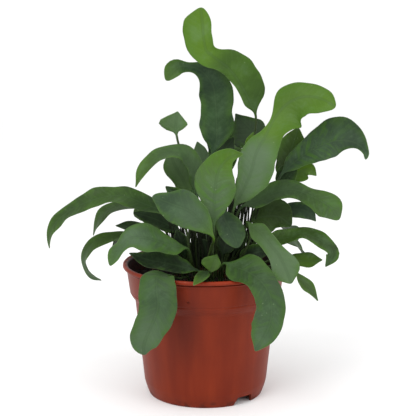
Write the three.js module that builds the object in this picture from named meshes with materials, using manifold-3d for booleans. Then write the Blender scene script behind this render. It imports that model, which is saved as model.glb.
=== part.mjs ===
// A blue star fern in a plastic nursery pot: pot, soil, creeping rhizome and one mesh for each frond.
// Millimetres, +Z up. The pot stands on Z = 0 around the Z axis, and -Y is the side seen in the photograph.
import * as THREE from "three";
import Module from "manifold-3d";

const wasm = await Module();
wasm.setup();

// Pot
const RIM_R = 60;
const POT_H = 97;
const WALL = 1.4;
const COLLAR_TOP_R = 57.4;
const COLLAR_TOP_Z = 93.6;
const COLLAR_LOW_R = 55;
const COLLAR_LOW_Z = 76;
const BODY_TOP_R = 51.2;
const BODY_TOP_Z = 69.5;
const BODY_LOW_R = 44.9;
const BODY_LOW_Z = 10;
const FOOT_R = 41.6;
const FLOOR_Z = 6.5;
const POT_SIDES = 48;
const NOTCH_WIDTH = 16;
const NOTCH_HEIGHT = 6.2;
const NOTCH_ANGLE = THREE.MathUtils.degToRad(-49.5);
const DRAIN_HOLES = 6;
const DRAIN_R = 4;
const DRAIN_RING_R = 27;
const DIMPLE = { x: -11.9, z: 80.8, r: 1.1 };

// Soil
const GAP = 0.45;
const SOIL = 84;
const SOIL_SIDES = 32;
const MOUND = 2.5;
const CRUMB = 0.9;

// Stalks of the fronds
const STALK_R = 0.95;
const HOLE_R = 1.7;
const FOOT_DEPTH = 6;

// Blades
const RIB_THICK = 1.2;
const BLADE_THICK = 0.8;
const ACROSS = [-1, -0.5, 0, 0.5, 1];
const STALK_STEP = 16;
const BLADE_STEP = 12;
const ROUND_TIP = 9;
const CUP = 0.18;
const WAVE = 1.2;
const WAVE_LENGTH = 34;

const COLOURS = {
  pot: "#8a3d2a",
  soil: "#1b130f",
  rhizome: "#4a3526",
  blue: "#4c6a58",
  green: "#4d7440",
  fresh: "#6d9440",
  dark: "#33502f",
};

function standard(colour, roughness) {
  return new THREE.MeshStandardMaterial({ color: colour, roughness, metalness: 0 });
}

// Solids

function toManifold(geometry) {
  const merged = welded(geometry);
  return new wasm.Manifold(
    new wasm.Mesh({ numProp: 3, vertProperties: merged.places, triVerts: merged.faces }),
  );
}

// Vertices at one place become one, so that the surface is closed.
function welded(geometry) {
  const place = geometry.getAttribute("position");
  const index = geometry.index ? geometry.index.array : [...Array(place.count).keys()];
  const seen = new Map();
  const places = [];
  const same = [];
  for (let i = 0; i < place.count; i++) {
    const key = [place.getX(i), place.getY(i), place.getZ(i)].map((c) => Math.round(c * 1e4)).join();
    if (!seen.has(key)) {
      seen.set(key, places.length / 3);
      places.push(place.getX(i), place.getY(i), place.getZ(i));
    }
    same.push(seen.get(key));
  }
  const faces = [];
  for (let i = 0; i < index.length; i += 3) {
    const [a, b, c] = [same[index[i]], same[index[i + 1]], same[index[i + 2]]];
    if (a !== b && b !== c && c !== a) faces.push(a, b, c);
  }
  return { places: new Float32Array(places), faces: new Uint32Array(faces) };
}

function toGeometry(solid) {
  const { vertProperties, triVerts } = solid.getMesh();
  return new THREE.BufferGeometry()
    .setAttribute("position", new THREE.BufferAttribute(vertProperties, 3))
    .setIndex(new THREE.BufferAttribute(triVerts, 1));
}

function meshOf(name, geometry, material) {
  geometry.computeVertexNormals();
  const mesh = new THREE.Mesh(geometry, material);
  mesh.name = name;
  return mesh;
}

// A turned solid from [radius, height] points; it starts and ends on the axis.
function turned(profile, sides) {
  const points = profile.map(([r, z]) => new THREE.Vector2(r, z));
  return new THREE.LatheGeometry(points, sides).rotateX(Math.PI / 2);
}

// An upright prism with a round outline, for holes.
function peg(x, y, low, high, radius, sides) {
  const length = high - low;
  const geometry = new THREE.CylinderGeometry(radius, radius, length, sides);
  geometry.rotateX(Math.PI / 2);
  geometry.translate(x, y, low + length / 2);
  return toManifold(geometry);
}

// Pot

function potProfile() {
  return [
    [0, FLOOR_Z],
    [FOOT_R - WALL + 0.8, FLOOR_Z],
    [FOOT_R - WALL, 0],
    [FOOT_R, 0],
    [FOOT_R + 0.8, 2],
    [FOOT_R + 2.2, 6],
    [BODY_LOW_R, BODY_LOW_Z],
    [BODY_TOP_R, BODY_TOP_Z],
    [BODY_TOP_R + 0.6, BODY_TOP_Z + 1.7],
    [COLLAR_LOW_R - 1.5, COLLAR_LOW_Z - 2.7],
    [COLLAR_LOW_R, COLLAR_LOW_Z],
    [COLLAR_TOP_R, COLLAR_TOP_Z],
    [RIM_R - 0.5, COLLAR_TOP_Z + 0.1],
    [RIM_R, COLLAR_TOP_Z + 1.1],
    [RIM_R, COLLAR_TOP_Z + 2.3],
    [RIM_R - 0.6, POT_H - 0.2],
    [RIM_R - 1.6, POT_H],
    [RIM_R - 3, POT_H - 0.5],
    [RIM_R - 3.7, POT_H - 1.8],
    [COLLAR_LOW_R - WALL, COLLAR_LOW_Z + 0.6],
    [BODY_TOP_R - WALL, BODY_TOP_Z + 0.6],
    [BODY_LOW_R - WALL, BODY_LOW_Z + 1],
    [BODY_LOW_R - WALL - 1.6, FLOOR_Z + WALL],
    [0, FLOOR_Z + WALL],
  ];
}

// One bar across the foot ring cuts the two notches, which face each other.
function notchBar() {
  const half = NOTCH_WIDTH / 2;
  const outline = new THREE.Shape([
    new THREE.Vector2(-half - 0.8, -1),
    new THREE.Vector2(half + 0.8, -1),
    new THREE.Vector2(half - 1.6, NOTCH_HEIGHT),
    new THREE.Vector2(-half + 1.6, NOTCH_HEIGHT),
  ]);
  const length = 2 * FOOT_R + 10;
  const geometry = new THREE.ExtrudeGeometry(outline, { depth: length, bevelEnabled: false });
  geometry.translate(0, 0, -length / 2);
  geometry.rotateX(Math.PI / 2);
  geometry.rotateZ(NOTCH_ANGLE + Math.PI / 2);
  return toManifold(geometry);
}

// Radius of the collar's outside at a height.
function collarRadius(z) {
  const share = (z - COLLAR_LOW_Z) / (COLLAR_TOP_Z - COLLAR_LOW_Z);
  return THREE.MathUtils.lerp(COLLAR_LOW_R, COLLAR_TOP_R, share);
}

function dimple() {
  const wallR = collarRadius(DIMPLE.z);
  const geometry = new THREE.SphereGeometry(DIMPLE.r, 10, 6);
  geometry.translate(DIMPLE.x, -Math.sqrt(wallR ** 2 - DIMPLE.x ** 2) - 0.3, DIMPLE.z);
  return toManifold(geometry);
}

function makePot() {
  let pot = toManifold(turned(potProfile(), POT_SIDES));
  pot = pot.subtract(notchBar()).subtract(dimple());
  for (let i = 0; i < DRAIN_HOLES; i++) {
    const turn = (2 * Math.PI * i) / DRAIN_HOLES;
    const [x, y] = [DRAIN_RING_R * Math.cos(turn), DRAIN_RING_R * Math.sin(turn)];
    pot = pot.subtract(peg(x, y, FLOOR_Z - 1, FLOOR_Z + WALL + 1, DRAIN_R, 12));
  }
  return pot;
}

// Rhizome: thick creeping stems, half sunk in the soil, each a list of places on its middle line.

const RHIZOME_R = 4.2;
const RHIZOME = [
  [[-24, 6], [-12, 4], [0, 0], [12, -4], [24, -8]],
  [[-6, 3], [-3, 13], [4, 24]],
  [[4, -1], [0, -12], [-6, -21]],
];

function creepingStem(places, extra) {
  const points = places.map(([x, y]) => new THREE.Vector3(x, y, soilHeight(x, y) + 0.4));
  const line = new THREE.CatmullRomCurve3(points, false, "centripetal");
  const rings = [];
  const count = 2 * places.length;
  for (let i = 0; i <= count; i++) {
    const u = i / count;
    const end = Math.min(1, Math.sqrt(1 - (2 * u - 1) ** 4) + 0.25);
    const radius = (RHIZOME_R - 0.3 + 0.4 * Math.sin(9 * u * places.length)) * end + extra;
    const tangent = line.getTangentAt(u);
    const reach = extra * ((i === count) - (i === 0));
    rings.push(roundRing(line.getPointAt(u).addScaledVector(tangent, reach), tangent, radius, 7));
  }
  return toManifold(closedLoft(rings));
}

function roundRing(centre, tangent, radius, sides) {
  const side = new THREE.Vector3().crossVectors(tangent, new THREE.Vector3(0, 0, 1)).normalize();
  const up = new THREE.Vector3().crossVectors(side, tangent);
  return [...Array(sides).keys()].map((k) => {
    const turn = (2 * Math.PI * k) / sides;
    return centre
      .clone()
      .addScaledVector(side, -radius * Math.cos(turn))
      .addScaledVector(up, radius * Math.sin(turn));
  });
}

function joined(extra) {
  return RHIZOME.map((places) => creepingStem(places, extra)).reduce((a, b) => a.add(b));
}

// Soil

// Small lumps: three crossed waves, so that the height is the same on each run.
function soilHeight(x, y) {
  const mound = MOUND * (1 - (x * x + y * y) / 55 ** 2);
  const waves = Math.sin(0.83 * x + 0.4 * y) + Math.sin(1.31 * y - 0.7 * x + 1) + Math.sin(2.1 * x + 1.9 * y);
  return SOIL + mound + (CRUMB * waves) / 2;
}

function makeSoil() {
  const inner = WALL + GAP;
  const low = FLOOR_Z + WALL + GAP;
  const wallAtTop = collarRadius(SOIL) - inner;
  const profile = [
    [0, low],
    [BODY_LOW_R - inner - 1.8, low],
    [BODY_LOW_R - inner, BODY_LOW_Z + 1.2],
    [BODY_TOP_R - inner, BODY_TOP_Z + 0.6],
    [COLLAR_LOW_R - inner - 0.2, COLLAR_LOW_Z + 0.6],
    [wallAtTop - 0.2, SOIL - 1.5],
  ];
  for (const r of [0.9, 0.74, 0.57, 0.4, 0.2, 0]) profile.push([r * wallAtTop, SOIL]);
  const geometry = turned(profile, SOIL_SIDES);
  const place = geometry.getAttribute("position");
  for (let i = 0; i < place.count; i++) {
    if (place.getZ(i) > SOIL - 0.01) place.setZ(i, soilHeight(place.getX(i), place.getY(i)));
  }
  return toManifold(geometry);
}

// Fronds: each row is one frond. `stalk` runs from the soil to the blade, `rib` is the blade's midrib from
// base to tip, `left` and `right` are half widths at even steps along the rib, as seen from the upper face,
// and `face` is where the upper face looks, from base to tip.
const FRONDS = [
  {
    name: "frond_01_crown", tint: "fresh", face: [[0, -1, 0.2]],
    stalk: [[10, 8, SOIL], [20, 9, 120], [31, 7, 165]],
    rib: [
      [36, 2, 203], [32, 1, 213], [27, 0, 223], [21, -2, 232], [15, -4, 239],
      [7, -5, 245], [1, -6, 250], [-1, -6, 258], [-2, -4, 268], [-3, -2, 280],
    ],
    left: [1, 4, 4, 4, 4.5, 5.5, 9, 12, 14, 12.5, 6],
    right: [1, 8, 13.5, 15.5, 14.5, 12.5, 5, 6, 5.5, 5.5, 4],
  },
  {
    name: "frond_02_tall", tint: "blue", face: [[0, -1, 0.1]],
    stalk: [[2, 6, SOIL], [3, 9, 130]],
    rib: [
      [5, 10, 172], [8, 11, 185], [8, 12, 199], [7, 12, 214],
      [5, 11, 225], [-5, 8, 236], [-19, 3, 238], [-28, 0, 229],
    ],
    left: [1, 8, 12, 11.5, 11.5, 10, 4.5, 3, 5, 3.5],
    right: [1, 5, 13, 11.5, 13.5, 12.5, 9, 3, 6.5, 4],
  },
  {
    name: "frond_03_small", tint: "fresh", face: [[0, -1, 0.2]],
    stalk: [[-6, 14, SOIL], [-10, 18, 130], [-17, 17, 170]],
    rib: [[-21, 16, 188], [-21.5, 15, 196], [-20, 15, 205]],
    left: [1, 7, 12, 6, 1.5],
    right: [1, 5, 8, 5, 1.5],
  },
  {
    name: "frond_04_arch", tint: "green", face: [[0.5, -0.8, 0.2], [0.1, -0.5, 0.85], [-0.5, -0.5, 0.7]],
    stalk: [[-6, 0, SOIL], [-7, -2, 115]],
    rib: [
      [-8, -4, 146], [-7, -6, 163], [-15, -10, 177.5],
      [-30, -16, 178.5], [-43, -20, 167.5], [-49, -22, 156],
    ],
    left: [1, 6, 8, 8, 7.5, 7, 5, 1.5],
    right: [1, 6, 8, 8, 7.5, 7, 5, 1.5],
  },
  {
    name: "frond_05_inner_left", tint: "fresh", face: [[0, -1, 0.2]],
    stalk: [[-10, 8, SOIL], [-10, 8, 115]],
    rib: [[-11, 6, 144], [-16, 6, 156], [-22, 6, 167], [-26, 6, 177]],
    left: [1, 6, 8.5, 8, 3],
    right: [1, 7, 9, 8, 3],
  },
  {
    name: "frond_06_behind", tint: "green", face: [[0, -1, 0.2]],
    stalk: [[-2, 12, SOIL], [0, 20, 130]],
    rib: [[0, 22, 160], [-2, 22, 169], [-4, 22, 175], [-6, 22, 182]],
    left: [1, 4, 5, 4, 1.5],
    right: [1, 4, 5, 4, 1.5],
  },
  {
    name: "frond_07_middle", tint: "green", face: [[0, -1, 0.1]],
    stalk: [[4, -14, SOIL], [5, -26, 105]],
    rib: [[6, -33, 130], [6, -36, 143], [7, -37, 158], [9, -37, 170], [16, -37, 179], [26, -36, 182]],
    left: [1, 4.5, 8, 13, 15, 11, 6, 1.5],
    right: [1, 6, 11, 14, 13, 9, 3.5, 1.5],
  },
  {
    name: "frond_08_front_left", tint: "blue", face: [[0, -1, 0.3]],
    stalk: [[0, -18, SOIL], [1, -23, 100], [4, -31, 115]],
    rib: [[6, -40, 123], [-2, -46, 135], [-10, -50, 144], [-23, -52, 150], [-36, -52, 155]],
    left: [1, 3.5, 7.5, 12.5, 12, 8.5, 2.5],
    right: [1, 4, 8.5, 10, 12, 6.5, 2.5],
  },
  {
    name: "frond_09_creased", tint: "fresh", face: [[0, -1, 0.1], [-0.3, -0.9, 0.3], [0, -0.85, 0.5]],
    stalk: [[12, -10, SOIL], [16, -16, 112]],
    rib: [
      [20, -20, 140], [26, -24, 153], [32, -24, 167], [36, -21, 181], [42, -17, 191],
      [49, -13, 204], [58, -12, 214], [70, -15, 219], [82, -17, 217], [91, -16, 212],
    ],
    left: [1, 5, 7.5, 10.5, 9, 3.5, 3.5, 10, 9.5, 7, 3],
    right: [1, 7, 13, 16, 14, 12, 17, 17.5, 15, 10, 4],
  },
  {
    name: "frond_10_behind_crown", tint: "dark", face: [[0, -1, 0.2]],
    stalk: [[16, 18, SOIL], [30, 24, 135]],
    rib: [[42, 24, 174], [38, 25, 185], [31, 26, 193], [22, 27, 202]],
    left: [1, 12, 17, 12, 2],
    right: [1, 6, 10, 5, 1],
  },
  {
    name: "frond_11_in_shade", tint: "dark", face: [[0, -1, 0.2]],
    stalk: [[8, 19, SOIL], [9, 20, 125]],
    rib: [[7, 18, 160], [10, 18, 170], [15, 18, 178], [21, 17.5, 186]],
    left: [1, 5, 8, 6, 2],
    right: [1, 5, 8, 6, 2],
  },
  {
    name: "frond_12_tip", tint: "fresh", face: [[0, -1, 0.2]],
    stalk: [[14, 12, SOIL], [26, 15, 140]],
    rib: [[32, 15, 172], [34, 15, 182], [35, 15, 190]],
    left: [1, 4, 4.5, 1.5],
    right: [1, 4, 4.5, 1.5],
  },
  {
    name: "frond_13_upright", tint: "dark", face: [[0.3, -0.9, 0.3]],
    stalk: [[22, 12, SOIL], [42, 19, 120]],
    rib: [[53, 20, 151], [59, 21, 165], [63, 22, 177], [68, 24, 192]],
    left: [1, 7, 9, 9, 3],
    right: [1, 8, 10, 9, 3],
  },
  {
    name: "frond_14_right", tint: "blue", face: [[0, -0.9, 0.45]],
    stalk: [[20, 4, SOIL], [40, 4, 120]],
    rib: [
      [54, 2, 160], [65, 1, 171], [77, -2, 180], [89, -5, 185.5],
      [100, -8, 187], [109, -11, 184], [113, -13, 179], [113, -15, 174.5],
    ],
    left: [1, 4.5, 7, 8.5, 13, 17.5, 16, 10.5, 4, 2],
    right: [1, 4, 6, 8.5, 11, 11, 7, 3.5, 2.5, 1.5],
  },
  {
    name: "frond_15_bright", tint: "fresh", face: [[0, -0.8, 0.6]],
    stalk: [[25, 9, SOIL], [46, 12, 118]],
    rib: [[59, 13, 154], [68, 14, 160], [75, 14, 163], [81, 14, 158]],
    left: [1, 6, 7, 5, 1.5],
    right: [1, 6, 7, 5, 1.5],
  },
  {
    name: "frond_16_long_right", tint: "green", face: [[0, -0.7, 0.7], [0, -0.7, 0.7], [0.3, -0.8, 0.5]],
    stalk: [[14, -3, SOIL], [19, -6, 112]],
    rib: [
      [25, -8, 138], [38, -10, 144], [50, -10, 150], [62, -12, 152.5],
      [71, -14, 150], [80, -17, 146], [88, -20, 141.5], [94, -24, 133],
    ],
    left: [1, 5, 7, 9, 8, 5.5, 9, 9, 4],
    right: [1, 5, 6, 7.5, 8, 7, 10.5, 12, 5],
  },
  {
    name: "frond_17_low_right", tint: "blue", face: [[0, -0.6, 0.8]],
    stalk: [[24, 0, SOIL], [38, 5, 112]],
    rib: [[52, 6, 132], [63, 4, 135], [73, 2, 134], [80, 0, 127]],
    left: [1, 5, 6, 5, 1.5],
    right: [1, 6, 9, 7, 2],
  },
  {
    name: "frond_18_shaded", tint: "dark", face: [[0, -0.9, 0.5]],
    stalk: [[18, -2, SOIL], [25, -3, 108]],
    rib: [[31, -2, 126], [42, -3, 131], [53, -4, 131], [62, -6, 125]],
    left: [1, 9, 12, 10, 4],
    right: [1, 9, 12, 9, 4],
  },
  {
    name: "frond_19_twisted", tint: "dark", face: [[0, -0.5, 0.85], [0, -0.5, 0.85], [0.5, -0.6, 0.6]],
    stalk: [[24, -6, SOIL], [29, -8, 104]],
    rib: [
      [38, -14, 117], [50, -16, 117.5], [60, -18, 119], [69, -20, 122.5],
      [78, -22, 119.5], [86, -24, 115], [90, -25, 109], [85, -26, 99.5],
    ],
    left: [1, 6, 7, 6, 8, 7, 6, 1.5],
    right: [1, 6, 8, 6, 8.5, 6, 5, 1.5],
  },
  {
    name: "frond_20_low_bright", tint: "fresh", face: [[0, -0.5, 0.85]],
    stalk: [[26, -13, SOIL], [38, -17, 99]],
    rib: [[55, -18, 104], [64, -20, 103], [74, -22, 102.5], [83, -24, 104]],
    left: [1, 5, 7, 6, 2],
    right: [1, 5, 7, 6, 2],
  },
  {
    name: "frond_21_hanging", tint: "dark", face: [[0.4, -0.7, 0.6]],
    stalk: [[24, -20, SOIL], [38, -25, 97], [54, -28, 102]],
    rib: [[63, -28, 97], [68, -28, 90], [74, -28, 84], [80, -28, 75]],
    left: [1, 3.5, 4.5, 3.5, 1],
    right: [1, 3.5, 4.5, 3.5, 1],
  },
  {
    name: "frond_22_light", tint: "fresh", face: [[0, -0.8, 0.6], [0.3, -0.9, 0.3], [0.2, -1, 0.1]],
    stalk: [[17, -17, SOIL], [27, -22, 108], [32, -27, 124]],
    rib: [
      [29, -31.5, 133], [33, -35, 130.5], [39, -38, 126], [44, -40, 120],
      [50, -42, 113], [54, -42, 106], [57, -42, 99], [60, -42, 91.5],
    ],
    left: [2, 6, 5.5, 5.5, 7, 9, 7.5, 3],
    right: [2, 7, 7, 6, 7.5, 10.5, 9, 4],
  },
  {
    name: "frond_23_front_right", tint: "blue", face: [[0, -0.6, 0.8], [0.1, -0.9, 0.4], [0.1, -1, 0.1]],
    stalk: [[10, -24, SOIL], [10, -32, 98]],
    rib: [
      [13, -38, 105], [22, -47, 104], [31, -55, 102], [39, -62, 97], [44, -67, 89],
      [45, -69, 79], [43, -70, 68], [39, -70, 60], [34, -69, 51],
    ],
    left: [1, 11, 12, 10.5, 10.5, 9.5, 10, 8, 2],
    right: [1, 10, 10.5, 9.5, 10, 10.5, 12, 9, 2],
  },
  {
    name: "frond_24_centre", tint: "blue", face: [[0.2, -0.9, 0.4]],
    stalk: [[8, -8, SOIL], [8, -16, 118], [7, -21, 138]],
    rib: [[10, -23, 142], [14, -26, 133], [19, -29, 125], [23, -31, 114.5]],
    left: [2, 6.5, 8, 8, 5],
    right: [2, 6.5, 9, 8.5, 5],
  },
  {
    name: "frond_25_low_dark", tint: "dark", face: [[-0.2, -0.9, 0.4]],
    stalk: [[19, -10, SOIL], [21, -12, 92]],
    rib: [[24, -14, 98], [31, -15, 105], [38, -16, 108], [46, -16, 108]],
    left: [1, 5, 6, 5, 1.5],
    right: [1, 5, 6, 5, 1.5],
  },
  {
    name: "frond_26_big_left", tint: "green",
    face: [[0, -0.5, 0.87], [0, -0.5, 0.87], [-0.5, -0.6, 0.6], [-0.8, -0.6, 0.3]],
    stalk: [[-8, -10, SOIL], [-11, -18, 108]],
    rib: [
      [-16, -22, 131], [-28, -24, 138.5], [-42, -24, 144], [-58, -24, 150], [-72, -24, 149], [-83, -23, 145.5],
      [-94, -22, 140], [-103, -21, 133], [-109, -20, 125], [-111, -19, 117], [-111, -18, 111],
    ],
    left: [1, 4, 6.5, 9.5, 9.5, 9, 8, 7.5, 6.5, 4, 1],
    right: [1, 4, 6.5, 9.5, 9.5, 9, 8, 7.5, 6.5, 4, 1],
  },
  {
    name: "frond_27_under_arch", tint: "green",
    face: [[0, -0.35, 0.94], [0, -0.35, 0.94], [-0.8, -0.4, 0.4]],
    stalk: [[-16, 6, SOIL], [-26, 8, 112]],
    rib: [[-40, 6, 135], [-51, 6, 137], [-62, 6, 136], [-72, 6, 133], [-78, 6, 126], [-82, 6, 115]],
    left: [1, 5, 6, 6.5, 6, 4.5, 1],
    right: [1, 5, 6, 6.5, 6, 4.5, 1],
  },
  {
    name: "frond_28_olive", tint: "dark", face: [[0, -0.7, 0.7]],
    stalk: [[-12, 1, SOIL], [-14, 2, 102]],
    rib: [[-17, 2, 117], [-31, 0, 126], [-42, -2, 131], [-52, -4, 134]],
    left: [1, 6, 8, 6, 1.5],
    right: [1, 6, 8, 6, 1.5],
  },
  {
    name: "frond_29_pointed", tint: "green", face: [[0, -0.6, 0.8]],
    stalk: [[-17, -7, SOIL], [-24, -10, 104]],
    rib: [[-36, -12, 117], [-50, -14, 125], [-64, -15, 127]],
    left: [1, 5, 6, 4, 1],
    right: [1, 5, 6, 4, 1],
  },
  {
    name: "frond_30_broad_left", tint: "blue",
    face: [[0, -0.75, 0.65], [0, -0.75, 0.65], [-0.3, -0.8, 0.5]],
    stalk: [[-8, -15, SOIL], [-10, -20, 99]],
    rib: [
      [-12, -29, 113], [-20, -34, 116], [-31, -38, 120], [-42, -42, 124],
      [-52, -44, 124], [-58, -45, 118], [-63, -45, 111], [-66, -45, 105],
    ],
    left: [1, 6, 9, 9, 10.5, 9, 4, 5, 2.5],
    right: [1, 4, 6, 8.5, 10, 10, 4, 5.5, 2.5],
  },
  {
    name: "frond_31_curl", tint: "green",
    face: [[0, -0.4, 0.9], [-0.7, -0.5, 0.5], [-0.85, -0.5, -0.2], [-0.3, -0.5, -0.8]],
    stalk: [[-21, -1, SOIL], [-33, 0, 104]],
    rib: [
      [-47, 0, 113], [-62, -1, 116], [-72, -2, 115], [-81, -3, 111.5], [-86, -4, 106],
      [-88, -5, 100], [-86, -6, 93], [-82, -8, 88.5], [-75, -10, 85.5],
    ],
    left: [1, 5, 6, 6, 5.5, 5, 4, 1.5],
    right: [1, 5, 6, 6, 5.5, 5, 4, 1.5],
  },
  {
    name: "frond_32_over_rim_left", tint: "dark", face: [[0, -0.6, 0.8]],
    stalk: [[2, -22, SOIL], [1, -27, 93]],
    rib: [[-4, -29, 97], [-14, -31, 100], [-26, -31, 103], [-40, -28, 105], [-54, -24, 109]],
    left: [1, 6, 8, 7, 5, 1.5],
    right: [1, 7, 9, 8, 5, 1.5],
  },
  {
    name: "frond_33_centre_young", tint: "green", face: [[0, -1, 0.3]],
    stalk: [[6, -22, SOIL], [8, -25, 100], [8.5, -28, 107]],
    rib: [[8, -31, 109], [6, -34, 104], [4, -36, 98]],
    left: [1.5, 4, 4, 1.5],
    right: [1.5, 7, 8.5, 2],
  },
  {
    name: "frond_34_front_drooping", tint: "blue",
    face: [[0, -0.4, 0.9], [0, -0.7, 0.7], [0, -1, 0.2], [-0.1, -1, 0.1]],
    stalk: [[-12, -22, SOIL], [-18, -30, 92]],
    rib: [
      [-24, -38, 96], [-30, -47, 99], [-33, -56, 99], [-33, -63, 92], [-32, -66, 82],
      [-35, -67, 72], [-39, -67, 63], [-42, -66, 54], [-42, -65, 47],
    ],
    left: [1, 6, 10.5, 13, 13, 12, 10.5, 8.5, 3.5],
    right: [1, 6, 10, 12, 12, 12, 13, 9.5, 4],
  },
  {
    name: "frond_35_rim_tip", tint: "dark", face: [[0, -0.6, 0.8]],
    stalk: [[5, -30, SOIL], [4, -38, 97]],
    rib: [[2, -46, 101], [-1, -54, 101], [-4, -62, 99.5], [-8, -68, 97]],
    left: [1, 3.5, 4, 3, 1],
    right: [1, 3.5, 4, 3, 1],
  },
  {
    name: "frond_36_shadow", tint: "dark", face: [[0, -1, 0.3]],
    stalk: [[-12, -6, SOIL], [-12, -11, 112]],
    rib: [[-12, -14, 135], [-19, -16, 147], [-28, -18, 156]],
    left: [1, 5, 6, 4, 1.5],
    right: [1, 5, 6, 4, 1.5],
  },
  {
    name: "frond_37_inner_dark", tint: "dark", face: [[0, -1, 0.3]],
    stalk: [[-16.5, -2, SOIL], [-15.5, -4, 94]],
    rib: [[-15, -5, 101], [-16, -6, 108], [-18, -7, 115], [-21, -7, 122]],
    left: [1, 4, 5, 4, 1.5],
    right: [1, 4, 5, 4, 1.5],
  },
  {
    name: "frond_38_inner_low", tint: "dark", face: [[0, -1, 0.3]],
    stalk: [[5, 3, SOIL], [4, 1, 92]],
    rib: [[3, 0, 97], [1, 0, 103], [0, 0, 108], [-2, 0, 114]],
    left: [1, 4, 5, 4, 1.5],
    right: [1, 4, 5, 4, 1.5],
  },
  {
    name: "frond_39_inner_middle", tint: "dark", face: [[0, -1, 0.3]],
    stalk: [[12, -17, SOIL], [12, -20, 96]],
    rib: [[12, -21, 106], [14, -22, 113], [16, -22, 120], [18, -22, 127]],
    left: [1, 5, 6.5, 5, 2],
    right: [1, 5, 6.5, 5, 2],
  },
  {
    name: "frond_40_inner_right", tint: "dark", face: [[0, -1, 0.4]],
    stalk: [[15, -6, SOIL], [18, -8, 98]],
    rib: [[21, -9, 106], [23, -10, 113], [25, -11, 120], [27, -12, 127]],
    left: [1, 4, 5.5, 5, 2],
    right: [1, 4, 5.5, 5, 2],
  },
  {
    name: "frond_41_back", tint: "blue", face: [[0, -0.3, 1], [0, 0.5, 0.85], [0, 0.9, 0.3]],
    stalk: [[-2, 20, SOIL], [-4, 34, 118]],
    rib: [[-6, 44, 136], [-9, 56, 146], [-12, 67, 143], [-14, 73, 130]],
    left: [1, 9, 12, 13, 12, 9, 3],
    right: [1, 9, 12, 13, 12, 9, 3],
  },
  {
    name: "frond_42_back_right", tint: "green", face: [[0, -0.3, 1], [0.4, 0.5, 0.8], [0.5, 0.8, 0.4]],
    stalk: [[10, 24, SOIL], [20, 38, 112]],
    rib: [[27, 44, 128], [35, 55, 136], [43, 65, 132], [48, 71, 120]],
    left: [1, 8, 11, 12, 11, 8, 3],
    right: [1, 8, 11, 12, 11, 8, 3],
  },
  {
    name: "frond_43_back_left", tint: "green", face: [[0, -0.3, 1], [-0.4, 0.5, 0.8], [-0.6, 0.7, 0.4]],
    stalk: [[-12, 18, SOIL], [-22, 30, 106]],
    rib: [[-29, 40, 122], [-37, 51, 128], [-45, 61, 124], [-50, 69, 113]],
    left: [1, 8, 11, 11, 9, 3],
    right: [1, 8, 11, 11, 9, 3],
  },
  {
    name: "frond_44_back_low", tint: "blue", face: [[0, -0.2, 1], [0.5, 0.4, 0.8], [0.7, 0.6, 0.4]],
    stalk: [[20, 18, SOIL], [32, 28, 102]],
    rib: [[42, 36, 113], [53, 46, 116], [63, 55, 110], [70, 62, 97]],
    left: [1, 7, 10, 10, 8, 2.5],
    right: [1, 7, 10, 10, 8, 2.5],
  },
  {
    name: "frond_45_back_tall", tint: "fresh", face: [[0, -0.7, 0.7], [0, 0, 1], [0, 0.7, 0.7]],
    stalk: [[4, 16, SOIL], [8, 26, 130]],
    rib: [[10, 32, 150], [13, 41, 166], [16, 52, 174], [18, 63, 169], [18, 71, 157]],
    left: [1, 8, 11, 12, 11, 8, 3],
    right: [1, 8, 11, 12, 11, 8, 3],
  },
  {
    name: "frond_46_back_far_left", tint: "dark",
    face: [[0, -0.2, 1], [-0.6, 0.3, 0.8], [-0.8, 0.4, 0.4]],
    stalk: [[-20, 12, SOIL], [-34, 22, 102]],
    rib: [[-42, 30, 110], [-54, 38, 111], [-64, 45, 104], [-71, 50, 93]],
    left: [1, 7, 9, 9, 7, 2.5],
    right: [1, 7, 9, 9, 7, 2.5],
  },
  {
    name: "frond_47_back_hanging", tint: "blue", face: [[0, 0, 1], [0, 0.6, 0.8], [0, 1, 0.2]],
    stalk: [[0, 28, SOIL], [2, 40, 100]],
    rib: [[6, 50, 106], [9, 61, 106], [11, 69, 97], [12, 72, 83], [12, 72, 66]],
    left: [1, 8, 11, 12, 11, 8, 3],
    right: [1, 8, 11, 12, 11, 8, 3],
  },
  {
    name: "frond_48_back_side", tint: "green", face: [[0, -0.3, 1], [0.7, 0, 0.7], [1, 0.1, 0.2]],
    stalk: [[30, 13, SOIL], [43, 17, 100]],
    rib: [[52, 22, 106], [64, 28, 106], [72, 32, 98], [77, 34, 86]],
    left: [1, 6, 8, 8, 6, 2],
    right: [1, 6, 8, 8, 6, 2],
  },
  {
    name: "frond_49_back_high", tint: "blue", face: [[0, -0.9, 0.4], [0, -0.3, 0.95], [0, 0.6, 0.8]],
    stalk: [[12, 16, SOIL], [12, 23, 130]],
    rib: [[11, 28, 158], [10, 34, 178], [9, 44, 196], [9, 55, 203], [9, 66, 197]],
    left: [1, 7, 9.5, 9.5, 8, 3],
    right: [1, 7, 9.5, 9.5, 8, 3],
  },
  {
    name: "frond_50_deep_right", tint: "dark", face: [[0, -0.9, 0.4]],
    stalk: [[20, 8, SOIL], [38, 9, 118]],
    rib: [[52, 8, 149], [57, 8, 157], [62, 8, 163], [67, 8, 168]],
    left: [1, 5, 7, 5, 1.5],
    right: [1, 5, 7, 5, 1.5],
  },
];

// Loft

// The stalk and the rib are one smooth line; the blade starts where the rib's list starts.
function frondLine(frond) {
  const [x, y] = frond.stalk[0];
  const foot = [SOIL - FOOT_DEPTH, SOIL + 1, SOIL + 7].map((z) => [x, y, z]);
  const points = [...foot, ...frond.stalk.slice(1), ...frond.rib].map((p) => new THREE.Vector3(...p));
  const line = new THREE.CatmullRomCurve3(points, false, "centripetal");
  line.arcLengthDivisions = 20 * (points.length - 1);
  const lengths = line.getLengths();
  const share = (point) => lengths[20 * point] / lengths.at(-1);
  return { line, leanFrom: share(2), bladeFrom: share(frond.stalk.length + 2), length: lengths.at(-1) };
}

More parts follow.
